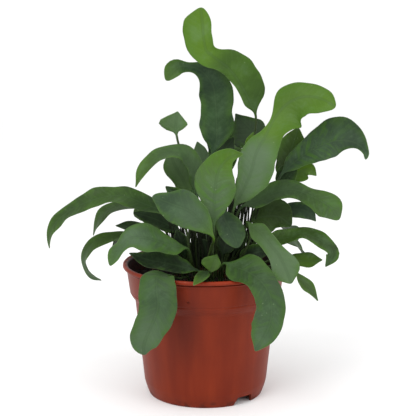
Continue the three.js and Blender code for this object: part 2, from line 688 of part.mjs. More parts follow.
// A smooth value at u from 0 to 1 along a list of evenly spaced values.
function along(values, u) {
  const last = values.length - 1;
  const i = Math.min(Math.floor(u * last), last - 1);
  const t = u * last - i;
  const [a, b, c, d] = [i - 1, i, i + 1, i + 2].map((k) => values[Math.min(Math.max(k, 0), last)]);
  return b + 0.5 * t * (c - a + t * (2 * a - 5 * b + 4 * c - d + t * (3 * (b - c) + d - a)));
}

function facing(faces, u) {
  if (faces.length === 1) return new THREE.Vector3(...faces[0]).normalize();
  const parts = [0, 1, 2].map((k) => along(faces.map((f) => f[k]), u));
  return new THREE.Vector3(...parts).normalize();
}

// Rings from base to tip. The last part is rounded off over `round` of the blade's length.
function bladeStations(count, round) {
  const stations = [];
  for (let i = 0; i <= count; i++) stations.push({ u: (i / count) * (1 - round), taper: 1 });
  for (const part of [0.55, 0.88, 1]) {
    stations.push({ u: 1 - round + round * part, taper: Math.max(Math.sqrt(1 - part * part), 0.08) });
  }
  return stations;
}

function bladeRing(frond, at, station) {
  const { u, taper } = station;
  const across = new THREE.Vector3().crossVectors(at.tangent, facing(frond.face, u)).normalize();
  const up = new THREE.Vector3().crossVectors(across, at.tangent).normalize();
  const top = [];
  const under = [];
  for (const s of ACROSS) {
    const half = Math.max(along(s < 0 ? frond.left : frond.right, u) * taper, 0.6);
    const ripple = WAVE * Math.min(half / 9, 1) * s * s * Math.sin(frond.waves * 2 * Math.PI * u + 2 * s);
    const thick = THREE.MathUtils.lerp(RIB_THICK, BLADE_THICK, Math.abs(s) ** 0.5);
    const middle = at.point.clone().addScaledVector(across, s * half);
    middle.addScaledVector(up, CUP * s * s * half + ripple);
    top.push(middle.clone().addScaledVector(up, thick / 2));
    under.unshift(middle.clone().addScaledVector(up, -thick / 2));
  }
  return [...top, ...under];
}

// A square ring on the stalk whose corners point to the blade's margins and faces.
function stalkRing(at, across) {
  const side = across.clone().addScaledVector(at.tangent, -across.dot(at.tangent)).normalize();
  const up = new THREE.Vector3().crossVectors(side, at.tangent).normalize();
  return [
    at.point.clone().addScaledVector(side, -STALK_R),
    at.point.clone().addScaledVector(up, STALK_R),
    at.point.clone().addScaledVector(side, STALK_R),
    at.point.clone().addScaledVector(up, -STALK_R),
  ];
}

// Joins rings of any counts into one closed surface with flat ends. All rings turn the same way.
function closedLoft(rings) {
  const places = rings.flat().flatMap((p) => [p.x, p.y, p.z]);
  const starts = [];
  rings.reduce((sum, ring) => (starts.push(sum), sum + ring.length), 0);
  const faces = [];
  for (let r = 0; r + 1 < rings.length; r++) {
    faces.push(...band(starts[r], rings[r], starts[r + 1], rings[r + 1]));
  }
  faces.push(...cap(starts[0], rings[0].length, false));
  faces.push(...cap(starts.at(-1), rings.at(-1).length, true));
  return new THREE.BufferGeometry()
    .setAttribute("position", new THREE.Float32BufferAttribute(places, 3))
    .setIndex(faces);
}

// Two rings of one size are joined by quads whose diagonals mirror each other on the two faces of a blade.
function band(a, ringA, b, ringB) {
  const [m, n] = [ringA.length, ringB.length];
  const faces = [];
  if (m === n) {
    for (let i = 0; i < n; i++) {
      const j = (i + 1) % n;
      if (i < n / 2) faces.push(a + i, a + j, b + i, a + j, b + j, b + i);
      else faces.push(a + i, a + j, b + j, a + i, b + j, b + i);
    }
    return faces;
  }
  let [i, j] = [0, 0];
  while (i < m || j < n) {
    if (j >= n || (i < m && (i + 1) / m <= (j + 0.5) / n)) {
      faces.push(a + (i % m), a + ((i + 1) % m), b + (j % n));
      i++;
    } else {
      faces.push(a + (i % m), b + ((j + 1) % n), b + (j % n));
      j++;
    }
  }
  return faces;
}

// A flat end: a strip across the ring, so that a thin end has no long fan.
function cap(start, count, outward) {
  const faces = [];
  let [low, high] = [0, count - 1];
  while (high - low > 1) {
    const next = faces.length % 2 === 0 ? low + 1 : high - 1;
    const [a, b, c] = [start + low, start + next, start + high];
    faces.push(outward ? [a, b, c] : [a, c, b]);
    if (next === low + 1) low = next;
    else high = next;
  }
  return faces.flat();
}

function makeFrond(frond) {
  const { line, leanFrom, bladeFrom, length } = frondLine(frond);
  const at = (u) => ({ point: line.getPointAt(u), tangent: line.getTangentAt(u) });
  const base = at(bladeFrom);
  const across = new THREE.Vector3().crossVectors(base.tangent, facing(frond.face, 0)).normalize();
  const rings = [stalkRing(at(0), across)];
  const stalkCount = Math.max(2, Math.round((length * (bladeFrom - leanFrom)) / STALK_STEP));
  for (let i = 0; i < stalkCount; i++) {
    rings.push(stalkRing(at(THREE.MathUtils.lerp(leanFrom, bladeFrom, i / stalkCount)), across));
  }
  const blade = length * (1 - bladeFrom);
  const shape = { ...frond, waves: blade / WAVE_LENGTH };
  const round = Math.min(ROUND_TIP / blade, 0.3);
  for (const station of bladeStations(Math.round(blade / BLADE_STEP) + 2, round)) {
    rings.push(bladeRing(shape, at(bladeFrom + (1 - bladeFrom) * station.u), station));
  }
  return closedLoft(rings);
}

function stalkHoles() {
  const low = SOIL - FOOT_DEPTH - 0.4;
  return FRONDS.map(({ stalk }) => peg(stalk[0][0], stalk[0][1], low, SOIL + 9, HOLE_R, 5));
}

const plant = new THREE.Group();
const holes = stalkHoles().reduce((a, b) => a.add(b));
const soil = makeSoil().subtract(joined(GAP)).subtract(holes);
const rhizome = joined(0).subtract(holes);
plant.add(meshOf("pot", toGeometry(makePot()), standard(COLOURS.pot, 0.45)));
plant.add(meshOf("soil", toGeometry(soil), standard(COLOURS.soil, 0.95)));
plant.add(meshOf("rhizome", toGeometry(rhizome), standard(COLOURS.rhizome, 0.85)));
for (const frond of FRONDS) {
  plant.add(meshOf(frond.name, makeFrond(frond), standard(COLOURS[frond.tint], 0.5)));
}

export default plant;
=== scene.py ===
# %% [markdown]
# # A potted blue star fern
#
# A young blue star fern in a nursery pot: an injection-moulded plastic pot, dark potting compost, a
# creeping rhizome and fifty strap-shaped fronds. The plain model of every piece comes in as a
# fixed frame, in metres, with the pot standing on Z = 0. Each cell below makes one finer piece in the same
# place, gives it its finish, and says why it was done that way.

# %% Frame
import math
import bpy
import numpy as np
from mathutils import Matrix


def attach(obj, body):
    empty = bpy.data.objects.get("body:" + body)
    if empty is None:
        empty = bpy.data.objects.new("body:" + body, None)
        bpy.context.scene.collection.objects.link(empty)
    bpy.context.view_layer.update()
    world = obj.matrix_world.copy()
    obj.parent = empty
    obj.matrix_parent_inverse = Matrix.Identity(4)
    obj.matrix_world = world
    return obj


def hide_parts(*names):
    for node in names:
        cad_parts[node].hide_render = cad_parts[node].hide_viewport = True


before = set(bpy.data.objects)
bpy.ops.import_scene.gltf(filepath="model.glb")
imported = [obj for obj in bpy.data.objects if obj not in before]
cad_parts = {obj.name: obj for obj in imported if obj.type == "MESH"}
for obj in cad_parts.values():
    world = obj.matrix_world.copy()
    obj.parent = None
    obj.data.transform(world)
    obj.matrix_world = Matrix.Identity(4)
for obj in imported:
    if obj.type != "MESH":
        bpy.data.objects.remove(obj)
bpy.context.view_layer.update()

MM = 0.001
SAME_PLACE = 1e-6

# %% [markdown]
# ## Camera, floor and light
#
# The photograph is a studio picture on white, taken from a little above the rim with a long lens, so that
# the pot's ellipses are shallow and its sides almost parallel. A long lens on a square frame at 0.9 m gives
# that. The floor is one sheet that rises into a backdrop in a soft curve, so no horizon shows, and the
# light is a bright, even sky with one large soft panel above the camera and a weaker one at the right.

# %% Camera
SENSOR = 36
LENS = 110
LOOKING_DOWN = 11.2
CAMERA_PLACE = (0.0019, -0.9, 0.315)

camera_data = bpy.data.cameras.new("camera")
camera_data.sensor_width = SENSOR
camera_data.lens = LENS
camera = bpy.data.objects.new("camera", camera_data)
camera.location = CAMERA_PLACE
camera.rotation_euler = (math.radians(90 - LOOKING_DOWN), 0, 0)
bpy.context.scene.collection.objects.link(camera)
bpy.context.scene.camera = camera
bpy.context.scene.view_settings.view_transform = "Standard"
print("lens", LENS, "mm, looking down", LOOKING_DOWN, "degrees")

# %% Deselecting and closing
# Operators act on all that is selected, so each step starts with nothing selected.
def deselect():
    bpy.ops.object.select_all(action="DESELECT")


def select_only(piece):
    deselect()
    piece.select_set(True)
    bpy.context.view_layer.objects.active = piece


# Merges what lies at one place, turns the faces outwards and shades the piece smooth.
def close(piece):
    select_only(piece)
    bpy.ops.object.mode_set(mode="EDIT")
    bpy.ops.mesh.select_all(action="SELECT")
    bpy.ops.mesh.remove_doubles(threshold=SAME_PLACE)
    bpy.ops.mesh.normals_make_consistent(inside=False)
    bpy.ops.object.mode_set(mode="OBJECT")
    bpy.ops.object.shade_smooth()
    return piece


# A grid whose vertices go to the given places, row by row. When the first and last columns are the same
# line it is a tube, and a row that is a single point closes it.
def shaped_grid(name, places):
    rows, columns = places.shape[:2]
    deselect()
    bpy.ops.mesh.primitive_grid_add(x_subdivisions=columns - 1, y_subdivisions=rows - 1, size=1)
    piece = bpy.context.object
    piece.name = piece.data.name = name
    piece.data.vertices.foreach_set("co", (places * MM).reshape(-1))
    return piece

# %% Floor and backdrop
FLOOR_HALF = 2600
FLOOR_SIDE = 3000
BACK = 1500
SWEEP = 700
SHEET = 4800

rows = []
for share in np.linspace(0, 1, 40):
    run = share * SHEET
    straight = BACK + FLOOR_HALF
    turn = min(max(run - straight, 0) / SWEEP, math.pi / 2)
    y = -FLOOR_HALF + min(run, straight) + SWEEP * math.sin(turn)
    z = SWEEP * (1 - math.cos(turn))
    rows.append([[x, y, z] for x in (-FLOOR_SIDE, 0, FLOOR_SIDE)])
floor = shaped_grid("floor", np.array(rows, float))
select_only(floor)
bpy.ops.object.shade_smooth()
print("floor", len(floor.data.polygons), "faces")

# %% Light
world = bpy.data.worlds.new("studio")
bpy.context.scene.world = world
world.use_nodes = True
world.node_tree.nodes["Background"].inputs["Color"].default_value = (1, 1, 1, 1)
world.node_tree.nodes["Background"].inputs["Strength"].default_value = 1.0


def panel(name, place, aim, side, watts):
    light = bpy.data.lights.new(name, "AREA")
    light.shape = "SQUARE"
    light.size = side
    light.energy = watts
    lamp = bpy.data.objects.new(name, light)
    lamp.location = place
    direction = [a - p for a, p in zip(aim, place)]
    level = math.hypot(direction[0], direction[1])
    heading = math.atan2(-direction[0], direction[1])
    lamp.rotation_euler = (math.pi / 2 + math.atan2(direction[2], level), 0, heading)
    bpy.context.scene.collection.objects.link(lamp)


panel("key", place=(-0.55, -1.0, 1.25), aim=(0, 0, 0.14), side=0.9, watts=11)
panel("fill", place=(1.1, -0.7, 0.7), aim=(0, 0, 0.12), side=0.8, watts=5)
print("two panels and a white sky")

# %% [markdown]
# ## Writing a finish as sums
#
# A node tree is hard to read as a list of links. Here a small class stands for the output of a node, and
# + - * on it add Math nodes, so that a vein or a stain is one line of arithmetic. Every other node comes
# from one method that takes its type, its settings and its inputs.

# %% Wires and paint
class Wire:
    """The output of a node. Arithmetic on it adds Math nodes."""

    def __init__(self, paint, socket):
        self.paint = paint
        self.socket = socket

    def maths(self, operation, *values):
        return self.paint.node("ShaderNodeMath", {"operation": operation}, dict(enumerate(values)))

    def __add__(self, other):
        return self.maths("ADD", self, other)

    def __sub__(self, other):
        return self.maths("SUBTRACT", self, other)

    def __mul__(self, other):
        return self.maths("MULTIPLY", self, other)

    def __pow__(self, other):
        return self.maths("POWER", self, other)

    def __radd__(self, other):
        return self.maths("ADD", other, self)

    def __rsub__(self, other):
        return self.maths("SUBTRACT", other, self)

    def __rmul__(self, other):
        return self.maths("MULTIPLY", other, self)

    def __abs__(self):
        return self.maths("ABSOLUTE", self)

    def cosine(self):
        return self.maths("COSINE", self)

    def least(self, other):
        return self.maths("MINIMUM", self, other)

    def most(self, other):
        return self.maths("MAXIMUM", self, other)

    # 0 below low, 1 above high and a soft step between; low may be the larger one.
    def step(self, low, high):
        settings = {"interpolation_type": "SMOOTHSTEP"}
        if low < high:
            return self.paint.node("ShaderNodeMapRange", settings, {0: self, 1: low, 2: high})
        return 1 - self.paint.node("ShaderNodeMapRange", settings, {0: self, 1: high, 2: low})


# "#rrggbb" as the shader's linear colour.
def tint(code):
    parts = [int(code[i:i + 2], 16) / 255 for i in (1, 3, 5)]
    return tuple(c / 12.92 if c <= 0.04045 else ((c + 0.055) / 1.055) ** 2.4 for c in parts) + (1,)


class Paint:
    """A material under construction around its Principled shader."""

    def __init__(self, name):
        self.material = bpy.data.materials.new(name)
        self.material.use_nodes = True
        self.nodes = self.material.node_tree.nodes
        self.links = self.material.node_tree.links
        self.shader = self.nodes["Principled BSDF"]

    def set(self, node, key, value):
        if isinstance(value, Wire):
            self.links.new(value.socket, node.inputs[key])
        else:
            node.inputs[key].default_value = value

    def node(self, kind, settings, inputs, output=0):
        made = self.nodes.new(kind)
        for key, value in settings.items():
            setattr(made, key, value)
        for key, value in inputs.items():
            self.set(made, key, value)
        return Wire(self, made.outputs[output])

    # The object's own coordinates, in metres.
    def place(self):
        return self.node("ShaderNodeTexCoord", {}, {}, "Object")

    def parts(self, vector):
        return [self.node("ShaderNodeSeparateXYZ", {}, {0: vector}, k) for k in range(3)]

    # The three numbers that the mesh carries under this name.
    def attribute(self, name):
        return self.parts(self.node("ShaderNodeAttribute", {"attribute_name": name}, {}, "Vector"))

    def vector(self, x, y, z):
        return self.node("ShaderNodeCombineXYZ", {}, {0: x, 1: y, 2: z})

    def noise(self, where, scale, detail=2.0, rough=0.5):
        return self.node("ShaderNodeTexNoise", {}, {"Vector": where, "Scale": scale, "Detail": detail,
                                                    "Roughness": rough})

    def cells(self, where, scale):
        return self.node("ShaderNodeTexVoronoi", {}, {"Vector": where, "Scale": scale}, "Distance")

    def mix(self, share, a, b):
        return self.node("ShaderNodeMix", {"data_type": "RGBA"}, {0: share, 6: a, 7: b}, 2)

    # The first colour lies between two, and each coat is laid over the colour so far by its share.
    def base(self, share, first, second):
        self.colour = self.mix(share, tint(first), tint(second))

    def coat(self, share, code):
        self.colour = self.mix(share, self.colour, tint(code))

    def bump(self, height, distance, strength):
        inputs = {"Strength": strength, "Distance": distance, "Height": height}
        return self.node("ShaderNodeBump", {}, inputs, "Normal")

    def finish(self, **sockets):
        for name, value in sockets.items():
            self.set(self.shader, name.replace("_", " "), value)
        return self.material


def dress(piece, material, slot, *nodes):
    piece.data.materials.clear()
    piece.data.materials.append(material)
    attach(piece, "root")
    if nodes:
        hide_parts(*nodes)


backdrop = Paint("pale_backdrop")
backdrop.finish(Base_Color=(0.93, 0.93, 0.93, 1), Roughness=0.85)
floor.data.materials.append(backdrop.material)
print("paint ready")

# %% [markdown]
# ## Pot
#
# A nursery pot is injection moulded: a thin wall that tapers, a wider collar that stops stacked pots from
# jamming, and a lip that stiffens the rim. All of it is round, so its outline is drawn once as a flat loop
# and spun. The loop's corners are bevelled before the spin, which rounds every edge at once, as the mould
# does. The two gaps in the foot ring, the drain holes and the sprue dimple are then cut out.

# %% Pot sizes
POT_H = 97
RIM_R = 60
WALL = 1.4
COLLAR_TOP_R = 57.4
COLLAR_LOW_R = 55
COLLAR_LOW_Z = 76
BODY_TOP_R = 51.2
BODY_TOP_Z = 69.5
BODY_LOW_R = 44.9
BODY_LOW_Z = 10
FOOT_R = 41.6
FLOOR_Z = 6.5
LIP_LOW = POT_H - 3.4
LIP_DROP = LIP_LOW - COLLAR_LOW_Z
SHALLOW = 0.35


# The wall's radius on the collar at a height.
def collar_radius(z):
    return COLLAR_LOW_R + (COLLAR_TOP_R - COLLAR_LOW_R) * (z - COLLAR_LOW_Z) / LIP_DROP


# A corner on the collar's face: a height, and how far it stands out there.
def on_collar(z, out=0):
    return collar_radius(z) + out, z


outline = [
    (0, FLOOR_Z), (FOOT_R - WALL + 0.8, FLOOR_Z), (FOOT_R - WALL, 0), (FOOT_R, 0), (FOOT_R + 0.8, 2),
    (FOOT_R + 2.2, 6), (BODY_LOW_R, BODY_LOW_Z), (BODY_TOP_R, BODY_TOP_Z),
    (BODY_TOP_R + 0.6, BODY_TOP_Z + 1.7), (COLLAR_LOW_R - 1.5, COLLAR_LOW_Z - 2.7),
    (COLLAR_LOW_R, COLLAR_LOW_Z), on_collar(COLLAR_LOW_Z + 0.5, -SHALLOW),
    on_collar(COLLAR_LOW_Z + 1, -SHALLOW), on_collar(COLLAR_LOW_Z + 1.5), on_collar(LIP_LOW - 1.6),
    on_collar(LIP_LOW - 1.2, SHALLOW), on_collar(LIP_LOW - 0.6, SHALLOW),
    (COLLAR_TOP_R - 0.6, LIP_LOW - 0.2), (COLLAR_TOP_R - 0.6, LIP_LOW + 0.5), (RIM_R - 0.5, LIP_LOW + 0.4),
    (RIM_R, LIP_LOW + 1.1), (RIM_R, LIP_LOW + 2.3), (RIM_R - 0.6, POT_H - 0.2), (RIM_R - 1.6, POT_H),
    (RIM_R - 3, POT_H - 0.5), (RIM_R - 3.7, POT_H - 1.8),
    (COLLAR_LOW_R - WALL, COLLAR_LOW_Z + 0.6), (BODY_TOP_R - WALL, BODY_TOP_Z + 0.6),
    (BODY_LOW_R - WALL, BODY_LOW_Z + 1), (BODY_LOW_R - WALL - 1.6, FLOOR_Z + WALL), (0, FLOOR_Z + WALL),
]
print(len(outline), "corners in the outline")

# %% Pot outline, bevelled and spun
SPIN_STEPS = 160
CORNER_ROUND = 0.3

deselect()
bpy.ops.mesh.primitive_circle_add(vertices=len(outline), radius=1)
pot = bpy.context.object
pot.name = pot.data.name = "pot_body"
for vertex, (radius, height) in zip(pot.data.vertices, outline):
    vertex.co = (radius * MM, 0, height * MM)
for vertex in pot.data.vertices:
    vertex.select = vertex.co.x > SAME_PLACE
for edge in pot.data.edges:
    edge.select = False
bpy.ops.object.mode_set(mode="EDIT")
bpy.ops.mesh.select_mode(type="VERT")
bpy.ops.mesh.bevel(offset=CORNER_ROUND * MM, segments=2, affect="VERTICES", clamp_overlap=True)
bpy.ops.mesh.select_all(action="SELECT")
bpy.ops.mesh.spin(steps=SPIN_STEPS, angle=2 * math.pi, center=(0, 0, 0), axis=(0, 0, 1))
bpy.ops.mesh.select_all(action="SELECT")
bpy.ops.mesh.remove_doubles(threshold=SAME_PLACE)
bpy.ops.mesh.delete_loose()
bpy.ops.mesh.select_all(action="SELECT")
bpy.ops.mesh.normals_make_consistent(inside=False)
bpy.ops.object.mode_set(mode="OBJECT")
print("pot", len(pot.data.polygons), "faces")

# %% Cutting the foot, the drain holes and the dimple
NOTCH_ANGLE = math.radians(-49.5)
NOTCH_HALF = {"low": 8.8, "high": 6.4}
NOTCH_TOP = 6.2
NOTCH_REACH = 46
NOTCH_ROUND = 0.9
HOLES = 6
HOLE_R = 4
HOLE_RING = 27
HOLE_LEVEL = 7.2
DIMPLE_R = 1.1
DIMPLE_X = -11.9
DIMPLE_Z = 80.8


def cut(piece, tool):
    select_only(piece)
    modifier = piece.modifiers.new("cut", "BOOLEAN")
    modifier.operation = "DIFFERENCE"
    modifier.solver = "EXACT"
    modifier.object = tool
    bpy.ops.object.modifier_apply(modifier=modifier.name)
    bpy.data.objects.remove(tool)


# The gap is a little narrower at its top, and its corners are round.
deselect()
bpy.ops.mesh.primitive_cube_add(size=1)
bar = bpy.context.object
for vertex in bar.data.vertices:
    top = vertex.co.z > 0
    half = NOTCH_HALF["high" if top else "low"]
    level = NOTCH_TOP if top else -1
    vertex.co = (vertex.co.x * 2 * NOTCH_REACH * MM, math.copysign(half, vertex.co.y) * MM, level * MM)
select_only(bar)
rounding = bar.modifiers.new("rounding", "BEVEL")
rounding.width = NOTCH_ROUND * MM
rounding.segments = 3
bpy.ops.object.modifier_apply(modifier="rounding")
bar.rotation_euler = (0, 0, NOTCH_ANGLE)
bpy.ops.object.transform_apply(location=False, rotation=True, scale=False)
cut(pot, bar)
for k in range(HOLES):
    turn = 2 * math.pi * k / HOLES
    place = (HOLE_RING * MM * math.cos(turn), HOLE_RING * MM * math.sin(turn), HOLE_LEVEL * MM)
    deselect()
    bpy.ops.mesh.primitive_cylinder_add(vertices=36, radius=HOLE_R * MM, depth=4 * MM, location=place)
    cut(pot, bpy.context.object)
dimple_y = -(math.sqrt(collar_radius(DIMPLE_Z) ** 2 - DIMPLE_X ** 2) + SHALLOW)
deselect()
bpy.ops.mesh.primitive_uv_sphere_add(segments=24, ring_count=12, radius=DIMPLE_R * MM,
                                     location=(DIMPLE_X * MM, dimple_y * MM, DIMPLE_Z * MM))
cut(pot, bpy.context.object)
select_only(pot)
bpy.ops.object.shade_smooth_by_angle(angle=math.radians(38))
print("pot cut,", len(pot.data.polygons), "faces")

# %% [markdown]
# ### The plastic
#
# Coloured polypropylene is satin and never quite even: it cools with faint upright flow lines and cloudy
# patches, handling scuffs the lip and the collar pale, and compost dust sits round the foot. Painted shade
# darkens the groove under the lip and the inside wall above the compost, which also has specks of compost,
# and the lip's top is painted a lighter red where light falls on it. The inner half of the lip's top is
# darker in crumbly patches, and one darker upright band left of the middle is a painted reflection. All of
# it is read from the object's own coordinates.

# %% Terracotta plastic
paint = Paint("terracotta_plastic")
where = paint.place()
x, y, z = paint.parts(where)
level = z * 1000
upright = paint.vector(x * 90, y * 90, z * 6)
flow = paint.noise(upright, 1.0, 3.0, 0.55)
cloud = paint.noise(where, 22.0, 3.0, 0.6)
grain = paint.noise(where, 900.0, 2.0, 0.6)
# Painted reflection: a darker upright band on the front, left of the middle.
painted_dark_reflection = abs(x * 1000 + 13).step(17.0, 2.0) * y.step(0.0, -0.03)
painted_dark_reflection = painted_dark_reflection * level.step(20.0, 62.0) * level.step(92.0, 74.0)
paint.base(flow.step(0.3, 0.75), "#6a1f08", "#79280c")
paint.coat(cloud.step(0.45, 0.8) * 0.35, "#561708")
paint.coat(painted_dark_reflection * 0.55, "#471308")
# Painted highlight: the lip's top band is painted a lighter red where light falls on it.
painted_lip_light = level.step(POT_H - 3.2, POT_H - 0.6)
paint.coat(painted_lip_light * 0.45, "#8f2e12")
scuff = paint.noise(paint.vector(x * 260, y * 260, z * 900), 1.0, 2.0, 0.7).step(0.63, 0.75)
worn = level.step(POT_H - 3.0, POT_H - 1.0).most(level.step(3.0, 0.5))
paint.coat(scuff * worn * 0.6, "#b0745c")
low = level.step(9.0, 0.0) * paint.noise(where, 160.0, 3.0, 0.6).step(0.5, 0.72)
# Painted shade: a dark line in the groove under the lip.
painted_groove_shade = abs(level - LIP_LOW).step(0.8, 0.1)
# Painted shade: the inside wall above the compost is painted nearly black, as it lies in shade under the
# fronds, with specks of compost stuck to it.
inside = (x * x + y * y) ** 0.5 * 1000
inner = (inside - level * 0.107).step(47.0, 46.4) * level.step(80.0, 83.0)
# The inner half of the lip's top is darker in crumbly patches.
crumbly = paint.noise(where, 260.0, 3.0, 0.6).step(0.35, 0.6)
dark_lip_inner_half = inside.step(59.0, 58.2) * level.step(94.9, 95.6) * crumbly
inner = inner.most(dark_lip_inner_half * 0.9)
# Dust round the foot, and the painted shade in the groove under the lip, in one dark brown.
paint.coat((low * 0.7).most(painted_groove_shade * 0.55), "#2a1710")
stuck = paint.noise(where, 420.0, 3.0, 0.65).step(0.42, 0.6)
paint.coat(inner * (0.82 + 0.16 * stuck), "#120a07")
height = grain * 0.25 + flow * 0.5 + scuff * worn * 0.3
rough = 0.40 + cloud * 0.10 + scuff * worn * 0.2 + low * 0.25
plastic = paint.finish(Base_Color=paint.colour, Roughness=rough, Normal=paint.bump(height, 0.0002, 0.6),
                       Specular_IOR_Level=0.16)
dress(pot, plastic, "pot_plastic", "pot")
print("pot dressed")

# %% [markdown]
# ## Compost
#
# Potting compost is a dark, crumbly mix of peat and bark with pale fibres in it. Its body is a turned plug
# whose top is raised by a rule: a low mound, the same small lumps as the plain model, and finer noise. A
# displaced plug alone looks like tar, so real crumbs and fibres are strewn on it: one crumb and one fibre
# are modelled, and each copy is turned and scaled by a fixed row of pseudo-random numbers, so that every
# run gives the same pot.

# %% Compost height
SOIL = 84
MOUND = 2.5
CRUMB = 0.9
GAP = 0.45
dice = np.random.default_rng(7)


def soil_height(x, y):
    mound = MOUND * (1 - (x * x + y * y) / 55 ** 2)
    waves = np.sin(0.83 * x + 0.4 * y) + np.sin(1.31 * y - 0.7 * x + 1) + np.sin(2.1 * x + 1.9 * y)
    return SOIL + mound + CRUMB * waves / 2


# Smaller lumps for the finer surface, from crossed waves of odd lengths.
def small_lumps(x, y):
    return (0.3 * np.sin(3.7 * x + 1.3 * np.sin(1.1 * y)) * np.sin(3.1 * y + 0.9 * np.sin(1.7 * x))
            + 0.2 * np.sin(5.9 * x - 4.3 * y) + 0.15 * np.sin(7.1 * y + 2.3 * x))


# %% Compost plug
RINGS = 84
STEPS_AROUND = 240

inner = WALL + GAP
top_radius = collar_radius(SOIL) - inner
side = [(0, FLOOR_Z + WALL + GAP), (BODY_LOW_R - inner - 1.8, FLOOR_Z + WALL + GAP),
        (BODY_LOW_R - inner, BODY_LOW_Z + 1.2), (BODY_TOP_R - inner, BODY_TOP_Z + 0.6),
        (COLLAR_LOW_R - inner - 0.2, COLLAR_LOW_Z + 0.6), (top_radius - 0.2, SOIL - 1.5)]
profile = side + [(r, SOIL) for r in np.linspace(0.985, 0, RINGS) * top_radius]
angles = np.linspace(0, 2 * math.pi, STEPS_AROUND + 1)
radius = np.array([r for r, _ in profile])[:, None]
level = np.array([h for _, h in profile])[:, None] + 0 * angles
x, y = radius * np.cos(angles), radius * np.sin(angles)
fade = np.clip((top_radius - radius) / 4, 0, 1)
raised = soil_height(x, y) + small_lumps(x, y) * fade
places = np.stack([x, y, np.where(level > SOIL - 0.01, raised, level)], axis=2)
soil = close(shaped_grid("soil_plug", places))
print("compost", len(soil.data.polygons), "faces")

# %% Crumbs
CRUMBS = 1500


def join(name, pieces):
    deselect()
    for piece in pieces:
        piece.select_set(True)
    bpy.context.view_layer.objects.active = pieces[0]
    bpy.ops.object.join()
    joined = bpy.context.object
    joined.name = joined.data.name = name
    return joined


# Copies of one small piece, each with its own mesh, joined into one object.
def strew(name, model, spots):
    made = []
    for place, turn, scale in spots:
        copy = model.copy()
        copy.data = model.data.copy()
        copy.location = place
        copy.rotation_euler = turn
        copy.scale = scale
        bpy.context.scene.collection.objects.link(copy)
        made.append(copy)
    bpy.data.objects.remove(model)
    joined = join(name, made)
    bpy.ops.object.transform_apply(location=True, rotation=True, scale=True)
    return joined


# A spot on the compost, clear of the rim.
def soil_spot(reach):
    r, a = top_radius * reach * math.sqrt(dice.random()), dice.random() * 2 * math.pi
    return r * math.cos(a), r * math.sin(a)


deselect()
bpy.ops.mesh.primitive_ico_sphere_add(subdivisions=1, radius=1)
crumb = bpy.context.object
for vertex in crumb.data.vertices:
    vertex.co *= 1 + 0.35 * math.sin(7 * vertex.co.x + 5 * vertex.co.y + 3 * vertex.co.z)
spots = []
for _ in range(CRUMBS):
    x, y = soil_spot(0.96)
    size = 0.35 + 1.15 * dice.random() ** 3
    turn = tuple(dice.random(3) * 6.3)
    stretch = tuple(size * MM * (0.7 + 0.8 * dice.random(3)))
    spots.append(((x * MM, y * MM, (soil_height(x, y) + 0.2 + 0.3 * size) * MM), turn, stretch))
crumbs = strew("soil_crumbs", crumb, spots)
print("crumbs", len(crumbs.data.polygons), "faces")

# %% Fibres
FIBRES = 170


# Adds a ring of vertices to the rod at each height, so that it can be bent.
def cut_across(levels):
    bpy.ops.object.mode_set(mode="EDIT")
    for level in levels:
        bpy.ops.mesh.select_all(action="SELECT")
        bpy.ops.mesh.bisect(plane_co=(0, 0, level), plane_no=(0, 0, 1))
    bpy.ops.object.mode_set(mode="OBJECT")


deselect()
bpy.ops.mesh.primitive_cylinder_add(vertices=4, radius=1, depth=1, end_fill_type="NGON")
fibre = bpy.context.object
cut_across((0.2, -0.2))
for vertex in fibre.data.vertices:
    bend = 0.25 - vertex.co.z ** 2
    thinner = 0.4 + 2 * bend
    vertex.co = (vertex.co.x * thinner, vertex.co.y * thinner + 2.5 * bend, vertex.co.z)
spots = []
for _ in range(FIBRES):
    x, y = soil_spot(0.93)
    turn = (math.pi / 2 + 0.25 * (dice.random() - 0.5), 0.3 * dice.random(), dice.random() * 6.3)
    length, thick = 3 + 9 * dice.random() ** 2, 0.14 + 0.22 * dice.random()
    place = (x * MM, y * MM, (soil_height(x, y) + 1.0) * MM)
    spots.append((place, turn, (thick * MM, thick * MM, length * MM)))
fibres = strew("soil_fibres", fibre, spots)
print("fibres", len(fibres.data.polygons), "faces")

# %% Thin stalks
THIN_STALKS = 220

# Between the fronds stand more thin dark stalks than can be followed: leafless and old ones. Their number
# and near-black colour also stand in for the shade deep in the clump, as painted shade. They are copies of
# one slim bent rod, in the back half and the middle of the clump.
deselect()
bpy.ops.mesh.primitive_cylinder_add(vertices=6, radius=1, depth=1, end_fill_type="NGON")
thin = bpy.context.object
cut_across((-0.3, -0.1, 0.1, 0.3))
for vertex in thin.data.vertices:
    up = vertex.co.z + 0.5
    vertex.co = (vertex.co.x * (1 - 0.45 * up) + 9 * up ** 2, vertex.co.y * (1 - 0.45 * up), vertex.co.z)
spots = []
for number in range(THIN_STALKS):
    x, y = -24 + 48 * dice.random(), -4 + 26 * dice.random()
    length, thick = 28 + 34 * dice.random(), 0.45 + 0.25 * dice.random()
    if number % 3 == 0:
        x, y = 10 + 24 * dice.random(), -3 + 14 * dice.random()
        length = 48 + 26 * dice.random()
    lean = (0.12 * (dice.random() - 0.5), 0.12 * (dice.random() - 0.5))
    outwards = math.atan2(y, x) + 1.6 * (dice.random() - 0.5)
    place = (x * MM, y * MM, (soil_height(x, y) - 1 + length / 2) * MM)
    spots.append((place, (*lean, outwards), (thick * MM, thick * MM, length * MM)))
thin_stalks = strew("thin_stalks", thin, spots)
print("thin stalks", len(thin_stalks.data.polygons), "faces")

